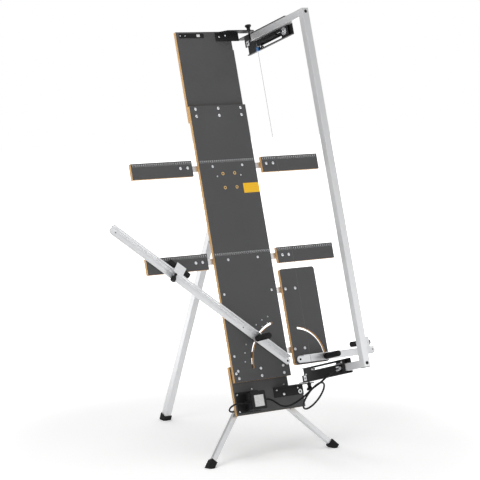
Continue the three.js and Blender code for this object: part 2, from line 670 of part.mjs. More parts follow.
addPanels();
addArmsAndBars();
addHinges();
addCarriages();
addBow();
addFences();
addPowerSupply();
addCords();
addRearLeg();
addFrontLegs();

export default cutter;
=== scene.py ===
"""A free-standing hot-wire cutter for rigid foam boards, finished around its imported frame.

Places on the machine are given in millimetres as x to the right of the board's middle,
s up along the leaning board and d out of its front face.
"""

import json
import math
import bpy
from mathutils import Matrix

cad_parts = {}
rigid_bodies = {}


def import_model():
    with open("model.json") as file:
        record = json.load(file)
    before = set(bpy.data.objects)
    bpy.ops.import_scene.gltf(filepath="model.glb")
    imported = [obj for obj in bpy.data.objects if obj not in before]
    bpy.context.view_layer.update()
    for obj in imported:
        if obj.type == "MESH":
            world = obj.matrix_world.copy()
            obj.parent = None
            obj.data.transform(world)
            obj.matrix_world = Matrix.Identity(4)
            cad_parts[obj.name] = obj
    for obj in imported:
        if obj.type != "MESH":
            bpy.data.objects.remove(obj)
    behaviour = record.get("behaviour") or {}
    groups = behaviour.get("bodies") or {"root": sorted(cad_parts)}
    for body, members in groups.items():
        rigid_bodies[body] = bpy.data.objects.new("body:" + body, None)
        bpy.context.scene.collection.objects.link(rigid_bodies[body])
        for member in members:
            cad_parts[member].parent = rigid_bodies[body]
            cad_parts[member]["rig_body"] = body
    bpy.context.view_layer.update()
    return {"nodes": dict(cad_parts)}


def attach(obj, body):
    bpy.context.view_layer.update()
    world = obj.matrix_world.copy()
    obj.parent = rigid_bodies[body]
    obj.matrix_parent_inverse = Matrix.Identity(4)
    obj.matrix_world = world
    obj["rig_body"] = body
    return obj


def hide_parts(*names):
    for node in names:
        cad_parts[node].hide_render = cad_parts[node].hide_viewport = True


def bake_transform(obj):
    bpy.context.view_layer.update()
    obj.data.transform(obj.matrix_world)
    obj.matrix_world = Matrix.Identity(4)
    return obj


bl_info = {
    "name": "Hot-wire foam cutter",
    "version": (1, 0, 0),
    "blender": (4, 5, 0),
    "location": "View3D > Sidebar > Foam Cutter",
    "description": "Builds the looks of a leaning hot-wire foam cutter around its frame",
    "category": "Object",
}

import bmesh
import bpy
from bpy.props import FloatProperty, FloatVectorProperty, IntProperty, PointerProperty
from mathutils import Matrix, Vector

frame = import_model()

# ------------------------------------------------------------------ axes
MM = 0.001
LEAN = math.radians(17)
BEHIND = -15.3  # front face of the top and lower panels, and of the flat bars
PANEL_BACK = -30.3
BAR_BACK = -20.3
WIRE_X = 218.0
PIVOT_D = 4.0
UPRIGHT = Matrix.Rotation(-LEAN, 4, "X")
BOARD_FOOT = Vector((0.0117, -0.1842, 0.311))
BOARD = Matrix.Translation(BOARD_FOOT) @ UPRIGHT @ Matrix.Scale(MM, 4)
LONG_ANGLE = math.radians(39.5)
LONG_AXES = BOARD @ Matrix.Translation((129, 0, 60)) @ Matrix.Rotation(LONG_ANGLE, 4, "Y")
SHORT_AXES = BOARD @ Matrix.Translation((194, 0, 59))
FRONT = UPRIGHT @ Vector((0, -1, 0))
UP_BOARD = UPRIGHT @ Vector((0, 0, 1))
ALONG_LONG = UPRIGHT @ Matrix.Rotation(LONG_ANGLE, 4, "Y") @ Vector((1, 0, 0))
DOWN_REAR_LEG = (0, 0.466, -1.088)
DOWN_LEFT_LEG = (-0.267, -0.125, -0.263)
DOWN_RIGHT_LEG = (0.267, -0.125, -0.263)


def place(x, s, d):
    """A place on the board, in the board's own axes."""
    return Vector((x, -d, s))


def world(x, s, d):
    """The same place in the frame's axes, in metres."""
    return BOARD @ place(x, s, d)


TO_X, TO_S, TO_D = Vector((1, 0, 0)), Vector((0, 0, 1)), Vector((0, -1, 0))

# ------------------------------------------------------------------ cord routes
def tenths(*point):
    """A point rounded to a tenth of a millimetre, as the frame's cords have it."""
    return tuple(round(c, 1) for c in point)


def lead_loop():
    """The lead's one turn, whose middle moves along its axis as it goes round."""
    towards = LOOP_TOWARDS.normalized()
    aside = (LOOP_AXIS - LOOP_AXIS.dot(towards) * towards).normalized()
    across = Matrix.Rotation(LOOP_TILT, 3, towards) @ aside
    points = []
    for turn in range(-96, 265, 24):
        (a, low), (b, high) = next(
            pair for pair in zip(LOOP_SHIFTS, LOOP_SHIFTS[1:]) if turn <= pair[1][0])
        shift = low + (high - low) * (turn - a) / (b - a)
        angle = math.radians(turn)
        round_by = LOOP_RADIUS * (math.cos(angle) * towards - math.sin(angle) * across)
        points.append(tenths(*(LOOP_MIDDLE + round_by + shift * LOOP_AXIS)))
    return points


LOOP_MIDDLE = Vector((142.5, -101, 128))
LOOP_TOWARDS = Vector((102, 74, 26))  # from the middle to where angles count from
LOOP_AXIS = Vector((-0.579, -0.030, 0.815)).normalized()
LOOP_TILT = math.radians(-22)
LOOP_RADIUS = 64
LOOP_SHIFTS = ((-96, -38), (0, -32), (90, -25), (180, -12), (276, 10))  # degrees, millimetres

# From the transformer round the lower panel's left edge and up behind the main panel.
MAINS_ROUTE = [
    (-121.3, -86, 12), (-130, -85.6, 12), (-139, -84.6, 12),
    *[tenths(-148 - 27.8 * math.sin(a), -98 + 14 * math.cos(a), -12 + 24 * math.cos(a))
      for a in map(math.radians, range(0, 181, 30))],
    *[tenths(-135 + 28 * math.sin(a), -84 - 28 * math.cos(a), -36)
      for a in map(math.radians, range(0, 91, 30))],
    (-106, -64, -36), (-103.5, -38, -35.5), (-100.5, -10, -35), (-98, 30, -35), (-99, 75, -35),
    (-100, 115, -31.5), (-102, 160, -27), (-103, 230, -25), (-103, 300, -25), (-103, 356, -26),
    (-103, 430, -25), (-104, 499, -26), (-110, 540, -26), (-120, 572, -25.6),
    (-124.5, 606, -25.5),
]
# From the coil's last turn down to the plug.
TAIL_ROUTE = [
    (-25.5, 606, -32.5), (-26, 590, -33.5), (-30, 573, -35), (-37, 558, -36), (-43, 546, -37),
    (-45.5, 536, -37), (-46, 526.3, -37),
]
# From the transformer along the lower edge, once round in a loop, to the terminal.
LEAD_ROUTE = [
    (-14.4, -83.5, 15), (-4, -83.9, 15.4), (7, -87.5, 17.5), (18, -95.5, 21.5),
    (28, -106.5, 27.5), (39, -117.5, 35.5), (53, -124, 47), (71, -122.5, 64), (89, -112.5, 87),
    (107, -95, 118), *lead_loop(), (140, -53, 197.5), (160, -38.5, 207), (176, -27.5, 216.5),
    (186, -19.5, 225), (190.3, -15, 232), (191.4, -14, 238.6),
]
PLUG_TOP = (-46, 526, -37)
MAINS_RADIUS = 3.5
LEAD_RADIUS = 4.0
COIL_MIDDLE = (-75, 606)
COIL_RADII = (49.5, 28.5)
COIL_LAYERS = (-25.5, -32.5)
COIL_TURNS = 7.5
TURN_POINTS = 36


def smooth_line(places, step=4.0):
    """A centripetal curve through places, as points about a step apart."""
    spots = [place(*p) for p in places]
    spots = [2 * spots[0] - spots[1], *spots, 2 * spots[-1] - spots[-2]]
    line = []
    for a, b, c, d in zip(spots, spots[1:], spots[2:], spots[3:]):
        t0 = 0.0
        t1 = t0 + math.sqrt((b - a).length)
        t2 = t1 + math.sqrt((c - b).length)
        t3 = t2 + math.sqrt((d - c).length)
        count = max(2, round((c - b).length / step))
        for i in range(count):
            t = t1 + (t2 - t1) * i / count
            ab = a.lerp(b, (t - t0) / (t1 - t0))
            bc = b.lerp(c, (t - t1) / (t2 - t1))
            cd = c.lerp(d, (t - t2) / (t3 - t2))
            abc = ab.lerp(bc, (t - t0) / (t2 - t0))
            bcd = bc.lerp(cd, (t - t1) / (t3 - t1))
            line.append(abc.lerp(bcd, (t - t1) / (t2 - t1)))
    return [*line, spots[-2]]


def coil_line():
    """The wound turns: inwards in the front layer, then outwards in the rear one."""
    outer, inner = COIL_RADII
    front, rear = COIL_LAYERS
    pitch = (outer - inner) / 3
    line = []
    for i in range(round(COIL_TURNS * TURN_POINTS) + 1):
        turn = i / TURN_POINTS
        if turn < 3:
            radius = outer - pitch * turn
        elif turn < COIL_TURNS - 3:
            radius = inner
        else:
            radius = inner + pitch * (turn - COIL_TURNS + 3)
        across = min(1.0, max(0.0, (turn - 3.2) / 1.1))
        across = across * across * (3 - 2 * across)
        angle = math.pi - 2 * math.pi * turn
        line.append(place(
            COIL_MIDDLE[0] + radius * math.cos(angle),
            COIL_MIDDLE[1] + radius * math.sin(angle),
            front + (rear - front) * across,
        ))
    return line


def length_of(line):
    return sum((b - a).length for a, b in zip(line, line[1:]))


# ------------------------------------------------------------------ settings
class CutterSizes(bpy.types.PropertyGroup):
    """Sizes of the small fittings."""

    edge_round: FloatProperty(
        name="Edge rounding", description="Rounding of folded and sawn edges",
        default=0.0005, min=0.0, max=0.002, unit="LENGTH", precision=4)
    tube_round: FloatProperty(
        name="Tube rounding", description="Corner rounding of the square tubes",
        default=0.0009, min=0.0, max=0.003, unit="LENGTH", precision=4)
    bolt_radius: FloatProperty(
        name="Bolt head radius", description="Radius of the domed bolt heads",
        default=0.0064, min=0.003, max=0.012, unit="LENGTH", precision=4)
    bolt_height: FloatProperty(
        name="Bolt head height", description="How far a domed head stands out",
        default=0.0026, min=0.001, max=0.004, unit="LENGTH", precision=4)
    tick_pitch: FloatProperty(
        name="Ruler pitch", description="Distance between the ruler's long marks",
        default=0.010, min=0.005, max=0.05, unit="LENGTH")
    spring_turns: IntProperty(
        name="Spring turns", description="Turns in the wire's tension spring",
        default=54, min=10, max=90)


class CutterColours(bpy.types.PropertyGroup):
    """Colours of the finishes."""

    def colour(name, description, default):
        return FloatVectorProperty(
            name=name, description=description, default=default,
            size=3, min=0.0, max=1.0, subtype="COLOR")

    film: colour("Film", "Phenolic film on the plywood", (0.058, 0.058, 0.060))
    ply: colour("Plywood", "Bare birch at the panels' edges", (0.70, 0.44, 0.19))
    aluminium: colour("Aluminium", "Anodised tubes and fences", (0.74, 0.745, 0.755))
    powder: colour("Powder coat", "Black coat of the folded steel", (0.012, 0.012, 0.013))
    steel: colour("Zinc", "Zinc plate of bolts and bars", (0.74, 0.75, 0.77))
    plastic: colour("Plastic", "Moulded knobs and housing", (0.010, 0.010, 0.011))
    ink: colour("Ruler ink", "Printed scale marks", (0.72, 0.73, 0.74))
    notice: colour("Yellow label", "Blank label on the main panel", (0.82, 0.46, 0.010))
    glaze: colour("Insulator", "Glaze of the wire's insulator", (0.02, 0.10, 0.26))

    del colour


def sizes():
    return bpy.context.scene.cutter_sizes


def colours():
    return bpy.context.scene.cutter_colours


# ------------------------------------------------------------------ shader maths
class Signal:
    """One output of a shader node. Arithmetic on it adds Math nodes."""

    def __init__(self, finish, socket):
        self.finish, self.socket = finish, socket

    def math(self, operation, *others):
        return self.finish.node("ShaderNodeMath", {"operation": operation}, [self, *others])

    def __add__(self, other):
        return self.math("ADD", other)

    def __sub__(self, other):
        return self.math("SUBTRACT", other)

    def __mul__(self, other):
        return self.math("MULTIPLY", other)

    def __truediv__(self, other):
        return self.math("DIVIDE", other)

    def __abs__(self):
        return self.math("ABSOLUTE")

    def __gt__(self, other):
        return self.math("GREATER_THAN", other)

    def __lt__(self, other):
        return self.math("LESS_THAN", other)

    def __mod__(self, other):
        return self.math("FLOORED_MODULO", other)

    def __rsub__(self, other):
        return self.finish.node("ShaderNodeMath", {"operation": "SUBTRACT"}, [other, self])

    __radd__ = __add__
    __rmul__ = __mul__

    def step(self, low, high):
        """0 below low, 1 above high and smooth between them."""
        return self.finish.node("ShaderNodeMapRange", {"interpolation_type": "SMOOTHSTEP"},
                                {"Value": self, "From Min": low, "From Max": high})


class Finish:
    """A material and the few ways that this machine's finishes add nodes to it."""

    def __init__(self, name, colour, roughness, metallic=0.0, **constants):
        self.material = bpy.data.materials.new(name)
        self.material.use_nodes = True
        self.tree = self.material.node_tree
        self.shader = self.tree.nodes["Principled BSDF"]
        self.put("Base Color", (*colour, 1.0))
        self.put("Roughness", roughness)
        self.put("Metallic", metallic)
        for socket, value in constants.items():
            self.put(socket.replace("_", " "), value)

    def put(self, socket, value):
        """Sets or links one of the shader's sockets."""
        self._fill(self.shader.inputs[socket], value)

    def _fill(self, socket, value):
        if isinstance(value, Signal):
            self.tree.links.new(value.socket, socket)
        else:
            socket.default_value = value

    def node(self, kind, settings=None, values=(), output=0):
        """Adds a node, with its settings first and then its sockets' values or links."""
        node = self.tree.nodes.new(kind)
        for key, value in (settings or {}).items():
            setattr(node, key, value)
        pairs = values.items() if isinstance(values, dict) else enumerate(values)
        for key, value in pairs:
            self._fill(node.inputs[key], value)
        return Signal(self, node.outputs[output])

    def here(self):
        return self.node("ShaderNodeTexCoord", output="Object")

    def turned(self, rotation, scale=(1, 1, 1)):
        """Object coordinates turned by a rotation, then stretched."""
        turn = rotation.to_euler()
        spot = self.node("ShaderNodeMapping", values={"Vector": self.here(), "Rotation": turn})
        return self.node("ShaderNodeVectorMath", {"operation": "MULTIPLY"}, [spot, scale])

    def on_board(self):
        """x, minus d and s of a place on the board, in metres."""
        back = UPRIGHT.inverted().to_3x3()
        spot = self.node("ShaderNodeMapping", values={
            "Vector": self.here(), "Location": -(back @ BOARD_FOOT),
            "Rotation": back.to_euler()})
        return [self.node("ShaderNodeSeparateXYZ", values=[spot], output=i) for i in range(3)]

    def noise(self, scale, detail=2.0, roughness=0.5, spot=None):
        return self.node("ShaderNodeTexNoise", {"noise_dimensions": "3D"}, {
            "Vector": spot or self.here(), "Scale": scale, "Detail": detail,
            "Roughness": roughness})

    def mix(self, factor, low, high):
        """Blends two colours."""
        settings = {"data_type": "RGBA", "clamp_factor": True}
        low = low if isinstance(low, Signal) else (*low, 1.0)
        high = high if isinstance(high, Signal) else (*high, 1.0)
        return self.node("ShaderNodeMix", settings, {0: factor, 6: low, 7: high}, output=2)

    def vary(self, colour, factor, spread):
        """A colour that gets darker and lighter by a spread as factor goes from 0 to 1."""
        low = [c * (1 - spread) for c in colour]
        high = [min(1.0, c * (1 + spread)) for c in colour]
        return self.mix(factor, low, high)

    def surface(self, colour, roughness, height=None, strength=0.0, distance=0.0):
        """Sets the colour and the roughness, and a bump where a height is given."""
        self.put("Base Color", colour)
        self.put("Roughness", roughness)
        if height is not None:
            self.put("Normal", self.node("ShaderNodeBump", values={
                "Strength": strength, "Distance": distance, "Height": height}))
        return self


def coated_ply():
    """Plywood with a dark phenolic film on both faces and bare plies at its edges."""
    finish = Finish("coated_ply", colours().film, 0.5)
    _, y, _ = finish.on_board()
    normal = finish.node("ShaderNodeTexCoord", output="Normal")
    facing = abs(finish.node(
        "ShaderNodeVectorMath", {"operation": "DOT_PRODUCT"}, [normal, FRONT], output="Value"))
    film = facing > 0.72
    cloud = finish.noise(7.0, 3.0)
    grain = finish.noise(1500.0, 2.0)
    dust = finish.noise(260.0, 4.0, 0.7).step(0.66, 0.8)
    face = finish.vary(colours().film, cloud * 0.7 + grain * 0.3, 0.16)
    face = finish.mix(dust * 0.12, face, (0.25, 0.25, 0.25))
    ply_layer = y * 1000 / 1.364
    even = (ply_layer * 0.5) % 1.0 > 0.5
    glue = (ply_layer % 1.0) < 0.14
    fibre = finish.noise(1.0, 4.0, 0.6, finish.turned(UPRIGHT.inverted(), (160, 2600, 160)))
    speck = finish.noise(900.0, 2.0)
    bare = colours().ply
    end_grain = [c * k for c, k in zip(bare, (0.72, 0.66, 0.58))]
    wood = finish.mix(even, finish.vary(bare, fibre, 0.22), finish.vary(end_grain, speck, 0.3))
    wood = finish.mix(glue, wood, (0.20, 0.10, 0.045))
    return finish.surface(
        finish.mix(film, wood, face),
        film * (0.46 + cloud * 0.14 - 0.75) + 0.75,
        grain * film + (1 - film) * (fibre + glue * -0.6), 0.22, 0.0004)


def aluminium(name, along):
    """Satin anodised aluminium with drawing lines that run along the profile."""
    finish = Finish(name, colours().aluminium, 0.36, 0.72)
    lay = Vector((0, 0, 1)).rotation_difference(Vector(along)).to_matrix().inverted()
    lines = finish.noise(1.0, 3.0, 0.6, finish.turned(lay, (900, 900, 9)))
    soft = finish.noise(2.2, 2.0)
    smudge = finish.noise(38.0, 4.0, 0.65)
    return finish.surface(
        finish.vary(colours().aluminium, lines * 0.4 + soft * 0.4 + smudge * 0.2, 0.05),
        0.30 + lines * 0.10 + smudge * 0.08,
        lines, 0.05, 0.0002)


def powder_coat():
    """Black powder coat: a fine orange-peel skin, rubbed a little where it is handled."""
    finish = Finish("powder_coat", colours().powder, 0.42, 0.0, Specular_IOR_Level=0.25)
    peel = finish.noise(1100.0, 2.0)
    rub = finish.noise(55.0, 5.0, 0.7).step(0.62, 0.78)
    return finish.surface(
        finish.mix(rub * 0.35, finish.vary(colours().powder, peel, 0.2), (0.05, 0.05, 0.052)),
        0.38 + peel * 0.12 - rub * 0.08,
        peel, 0.25, 0.0003)


def zinc_plate():
    """Bright zinc plate with faint mottling."""
    finish = Finish("zinc_plate", colours().steel, 0.28, 0.9)
    mottle = finish.noise(420.0, 3.0, 0.6)
    stain = finish.noise(30.0, 3.0)
    return finish.surface(
        finish.vary(colours().steel, mottle * 0.5 + stain * 0.5, 0.14),
        0.2 + mottle * 0.14 + stain * 0.08,
        mottle, 0.1, 0.0002)


def moulded_plastic():
    """Black moulded plastic with a fine spark-eroded texture."""
    finish = Finish("moulded_plastic", colours().plastic, 0.45, Specular_IOR_Level=0.25)
    spark = finish.noise(1700.0, 1.0)
    flow = finish.noise(24.0, 2.0)
    return finish.surface(
        finish.vary(colours().plastic, flow, 0.3),
        0.38 + spark * 0.14 + flow * 0.05,
        spark, 0.3, 0.00025)


def soft_rubber():
    """Matt black rubber, a little dusty."""
    finish = Finish("soft_rubber", (0.014, 0.014, 0.015), 0.7, Specular_IOR_Level=0.2)
    dust = finish.noise(120.0, 5.0, 0.7)
    skin = finish.noise(1300.0, 2.0)
    return finish.surface(
        finish.mix(dust.step(0.45, 0.85) * 0.5, (0.012, 0.012, 0.013), (0.028, 0.028, 0.027)),
        0.62 + dust * 0.2,
        skin, 0.3, 0.0003)


def cord_sheath():
    """Smooth black PVC sheath."""
    finish = Finish("cord_sheath", (0.005, 0.005, 0.006), 0.36, Specular_IOR_Level=0.2)
    flow = finish.noise(60.0, 3.0)
    pores = finish.noise(1400.0, 2.0)
    return finish.surface(
        finish.vary((0.005, 0.005, 0.006), flow, 0.35),
        0.30 + flow * 0.16,
        pores, 0.15, 0.0002)


def heating_wire():
    """Drawn resistance wire with a faint oxide tint."""
    finish = Finish("heating_wire", (0.20, 0.20, 0.20), 0.4, 0.3)
    tint = finish.noise(14.0, 3.0)
    return finish.surface(
        finish.mix(tint, (0.10, 0.098, 0.095), (0.15, 0.15, 0.152)),
        0.34 + tint * 0.12)


def glazed_insulator():
    """Blue glazed ceramic."""
    finish = Finish("glazed_insulator", colours().glaze, 0.22, Coat_Weight=0.5)
    pool = finish.noise(300.0, 2.0)
    return finish.surface(finish.vary(colours().glaze, pool, 0.3), 0.16 + pool * 0.14)


def ruler_ink():
    """Pale printed ink, slightly worn."""
    finish = Finish("ruler_ink", colours().ink, 0.6)
    wear = finish.noise(420.0, 4.0, 0.7)
    return finish.surface(finish.vary(colours().ink, wear, 0.25), 0.5 + wear * 0.2)


def yellow_label():
    """A blank yellow sticker with printed rules across it."""
    finish = Finish("yellow_label", colours().notice, 0.4)
    x, _, s = finish.on_board()
    rows = ((s * 1000 - 771) / 9.0) % 1.0
    printed = (rows > 0.44) * (rows < 0.56) * (x * 1000 > 68) * (x * 1000 < 131)
    print_grain = finish.noise(500.0, 2.0)
    paper = finish.vary(colours().notice, print_grain, 0.06)
    return finish.surface(
        finish.mix(printed * 0.28, paper, (0.35, 0.18, 0.01)),
        0.34 + print_grain * 0.1)


def pale_label():
    """A blank pale sticker with faint printed rules."""
    finish = Finish("pale_label", (0.62, 0.62, 0.61), 0.45)
    _, _, s = finish.on_board()
    rows = ((s * 1000 + 106) / 5.2) % 1.0
    gaps = finish.noise(120.0, 1.0).step(0.36, 0.4)
    printed = (rows > 0.35) * (rows < 0.7) * gaps
    return finish.surface(
        finish.mix(printed * 0.5, (0.66, 0.66, 0.65), (0.30, 0.30, 0.31)),
        0.42 + gaps * 0.1)


def raw_bore():
    """The bare wood and shadow inside a countersunk hole."""
    finish = Finish("raw_bore", (0.55, 0.34, 0.12), 0.6)
    turning = finish.noise(700.0, 2.0)
    return finish.surface(finish.vary((0.62, 0.40, 0.15), turning, 0.3), 0.5 + turning * 0.2)


def webbing():
    """Black hook-and-loop webbing."""
    finish = Finish("webbing", (0.02, 0.02, 0.022), 0.85, Sheen_Weight=0.3)
    pile = finish.noise(2200.0, 2.0)
    return finish.surface(
        finish.vary((0.02, 0.02, 0.022), pile, 0.4),
        0.78 + pile * 0.15,
        pile, 0.5, 0.0004)


FINISHES = {}


def make_finishes():
    for build in (coated_ply, powder_coat, zinc_plate, moulded_plastic, soft_rubber, cord_sheath,
                  heating_wire, glazed_insulator, ruler_ink, yellow_label, pale_label, raw_bore,
                  webbing):
        FINISHES[build.__name__] = build().material
    for name, along in (("bow_aluminium", UP_BOARD), ("arm_aluminium", FRONT),
                        ("long_fence_aluminium", ALONG_LONG), ("short_fence_aluminium", (1, 0, 0)),
                        ("rear_leg_aluminium", DOWN_REAR_LEG),
                        ("left_leg_aluminium", DOWN_LEFT_LEG),
                        ("right_leg_aluminium", DOWN_RIGHT_LEG)):
        FINISHES[name] = aluminium(name, along).material


# ------------------------------------------------------------------ solids
def angle_at(edge):
    return edge.calc_face_angle(0.0) if len(edge.link_faces) == 2 else 0.0


def soften(bm, width, segments=2):
    """Rounds the sharp edges, and shades what is curved smooth and what is flat flat."""
    curved = {f for e in bm.edges if 0.02 < angle_at(e) < 0.62 for f in e.link_faces}
    for face in bm.faces:
        face.smooth = face in curved
    sharp = [e for e in bm.edges if angle_at(e) >= 0.62]
    if width > 0 and sharp:
        made = bmesh.ops.bevel(
            bm, geom=sharp, offset=width, offset_type="OFFSET", affect="EDGES",
            segments=segments, profile=0.5, material=-1, clamp_overlap=True, loop_slide=True)
        for face in made["faces"]:
            face.smooth = True
    for edge in bm.edges:
        edge.smooth = angle_at(edge) < 0.9
    return bm


def aim(direction):
    return Vector((0, 0, 1)).rotation_difference(direction).to_matrix().to_4x4()


def block(x, s, d, round_by=0.5):
    """A box between two values of x, s and d."""
    bm = bmesh.new()
    bmesh.ops.create_cube(bm, size=1)
    low, high = place(x[0], s[0], d[1]), place(x[1], s[1], d[0])
    bmesh.ops.scale(bm, vec=high - low, verts=bm.verts)
    bmesh.ops.translate(bm, vec=(low + high) / 2, verts=bm.verts)
    return soften(bm, round_by)


def rod(start, end, radius, end_radius=None, sides=24, round_by=0.4):
    """A round bar or cone from one place to another."""
    a, b = place(*start), place(*end)
    bm = bmesh.new()
    bmesh.ops.create_cone(
        bm, cap_ends=True, segments=sides, radius1=radius,
        radius2=radius if end_radius is None else end_radius, depth=(b - a).length)
    soften(bm, round_by)
    bmesh.ops.transform(
        bm, matrix=Matrix.Translation((a + b) / 2) @ aim(b - a), verts=bm.verts)
    return bm


def turned(profile, start, direction, sides=32, round_by=0.0, flutes=0, depth=0.0, beyond=0.0):
    """A profile of (radius, height) spun about a direction, with flutes cut beyond a radius."""
    bm = bmesh.new()
    verts = [bm.verts.new((r, 0, h)) for r, h in profile]
    edges = [bm.edges.new(pair) for pair in zip(verts, verts[1:])]
    if profile[0][0] > 0:
        edges.append(bm.edges.new((verts[-1], verts[0])))
    bmesh.ops.spin(
        bm, geom=[*verts, *edges], cent=(0, 0, 0), axis=(0, 0, 1), angle=2 * math.pi,
        steps=sides, use_merge=True)
    bmesh.ops.remove_doubles(bm, verts=bm.verts, dist=1e-4)
    bmesh.ops.recalc_face_normals(bm, faces=bm.faces)
    if flutes:
        for v in bm.verts:
            radius = math.hypot(v.co.x, v.co.y)
            if radius > beyond:
                grow = 1 + depth * math.cos(flutes * math.atan2(v.co.y, v.co.x)) / radius
                v.co.x, v.co.y = v.co.x * grow, v.co.y * grow
    soften(bm, round_by)
    bmesh.ops.transform(
        bm, matrix=Matrix.Translation(place(*start)) @ aim(direction), verts=bm.verts)
    return bm


def prism(outline, reach, round_by=0.4):
    """An outline of places pushed along a vector."""
    bm = bmesh.new()
    face = bm.faces.new([bm.verts.new(place(*p)) for p in outline])
    pushed = bmesh.ops.extrude_face_region(bm, geom=[face])
    moved = [v for v in pushed["geom"] if isinstance(v, bmesh.types.BMVert)]
    bmesh.ops.translate(bm, vec=reach, verts=moved)
    bmesh.ops.recalc_face_normals(bm, faces=bm.faces)
    return soften(bm, round_by)


def helix(start, direction, radius, wire, length, turns, per_turn=12, sides=6):
    """A close-wound spring, spun as a screw from one ring of wire."""
    bm = bmesh.new()
    bmesh.ops.create_circle(bm, segments=sides, radius=wire)
    tilt = Matrix.Translation((radius, 0, 0)) @ Matrix.Rotation(math.pi / 2, 4, "X")
    bmesh.ops.transform(bm, matrix=tilt, verts=bm.verts)
    steps = turns * per_turn
    bmesh.ops.spin(
        bm, geom=[*bm.verts, *bm.edges], cent=(0, 0, 0), axis=(0, 0, 1),
        dvec=(0, 0, length / steps), angle=2 * math.pi * turns, steps=steps)
    rim = [e for e in bm.edges if e.is_boundary]
    bmesh.ops.edgeloop_fill(bm, edges=rim)
    bmesh.ops.recalc_face_normals(bm, faces=bm.faces)
    soften(bm, 0)
    bmesh.ops.transform(
        bm, matrix=Matrix.Translation(place(*start)) @ aim(direction), verts=bm.verts)
    return bm


class Work:
    """Solids on one set of axes, gathered into one piece with one finish each."""

    def __init__(self, axes=BOARD):
        self.axes, self.bm, self.finishes = axes, bmesh.new(), []

    def add(self, finish, *solids):
        if finish not in self.finishes:
            self.finishes.append(finish)
        index = self.finishes.index(finish)
        for solid in solids:
            for face in solid.faces:
                face.material_index = index
            part = bpy.data.meshes.new("part")
            solid.to_mesh(part)
            solid.free()
            self.bm.from_mesh(part)
            bpy.data.meshes.remove(part)
        return self

    def piece(self, name, body, *stands_for):
        """The finished piece, in metres, riding on its body."""
        bmesh.ops.transform(self.bm, matrix=self.axes, verts=self.bm.verts)
        mesh = bpy.data.meshes.new(name)
        self.bm.to_mesh(mesh)
        self.bm.free()
        return settle(name, mesh, self.finishes, body, stands_for)


def settle(name, mesh, finishes, body, stands_for=()):
    """Makes an object of a mesh, gives it its finishes and lets it ride on a body."""
    for finish in finishes:
        mesh.materials.append(FINISHES[finish])
    piece = bpy.data.objects.new(name, mesh)
    bpy.context.scene.collection.objects.link(piece)
    if body:
        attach(piece, body)
    if stands_for:
        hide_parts(*stands_for)
    return piece


def edged(node, finish, width, segments=2):
    """A copy of a frame part with its edges rounded, standing for the part."""
    source = frame["nodes"][node]

    def merged():
        bm = bmesh.new()
        bm.from_mesh(source.data)
        bmesh.ops.remove_doubles(bm, verts=bm.verts, dist=1e-5)
        bmesh.ops.dissolve_limit(
            bm, angle_limit=math.radians(0.4), verts=bm.verts, edges=bm.edges)
        return bm

    bm = soften(merged(), width, segments)
    if any(len(e.link_faces) != 2 for e in bm.edges):
        bm.free()
        bm = soften(merged(), 0.0)
    mesh = bpy.data.meshes.new(node + "_edged")
    bm.to_mesh(mesh)
    bm.free()
    return settle(node + "_edged", mesh, [finish], source["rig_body"], [node])


def hose(line, radius, sides=12):
    """A closed round tube along a line on the board."""
    curve = bpy.data.curves.new("line", "CURVE")
    curve.dimensions = "3D"
    curve.bevel_depth = radius * MM
    curve.bevel_resolution = sides // 4
    curve.use_fill_caps = True
    spline = curve.splines.new("POLY")
    spline.points.add(len(line) - 1)
    for point, spot in zip(spline.points, line):
        point.co = (*(BOARD @ spot), 1.0)
    holder = bpy.data.objects.new("line", curve)
    bpy.context.scene.collection.objects.link(holder)
    mesh = bpy.data.meshes.new_from_object(
        holder.evaluated_get(bpy.context.evaluated_depsgraph_get()))
    bpy.data.objects.remove(holder)
    bm = bmesh.new()
    bm.from_mesh(mesh)
    bmesh.ops.remove_doubles(bm, verts=bm.verts, dist=1e-5)
    bmesh.ops.recalc_face_normals(bm, faces=bm.faces)
    for face in bm.faces:
        face.smooth = len(face.verts) == 4
    bm.to_mesh(mesh)
    bm.free()
    mesh.materials.clear()
    return mesh


# ------------------------------------------------------------------ fittings
def domed_bolt(x, s, d, radius, height, direction=TO_D, sides=16):
    """A button head with a small socket."""
    profile = [(0, height * 0.45), (radius * 0.3, height * 0.45), (radius * 0.34, height),
               (radius * 0.62, height * 0.86), (radius * 0.88, height * 0.5), (radius, 0.12),
               (radius, -0.2), (0, -0.2)]
    return turned(profile, (x, s, d), direction, sides)


def flat_screw(x, s, d, radius, height=0.5, direction=TO_D, sides=14):
    """A countersunk screw head with a round recess."""
    profile = [(0, height * 0.1), (radius * 0.34, height * 0.1), (radius * 0.4, height * 0.9),
               (radius * 0.9, height), (radius, height * 0.4), (radius, -0.2), (0, -0.2)]
    return turned(profile, (x, s, d), direction, sides)


def washer(x, s, d, outer, inner, thick, direction=TO_D, sides=24):
    profile = [(inner, 0), (outer, 0), (outer, thick), (inner, thick)]
    return turned(profile, (x, s, d), direction, sides, round_by=thick * 0.2)


def hex_nut(x, s, d, radius, height, direction):
    """A nut with a chamfered top."""
    a = Vector((x, -d, s))
    b = a + direction * height
    end = (b.x, b.z, -b.y)
    return rod((x, s, d), end, radius, sides=6, round_by=height * 0.12)


def stud(x, s, d, radius, length, direction, pitch=1.6):
    """A threaded stud."""
    count = max(2, round(length / pitch))
    step = length / count
    profile = [(0, 0)]
    for i in range(count):
        profile += [(radius * 0.84, i * step + step * 0.1), (radius, i * step + step * 0.55)]
    return turned([*profile, (radius * 0.84, length), (0, length)], (x, s, d), direction, 14)


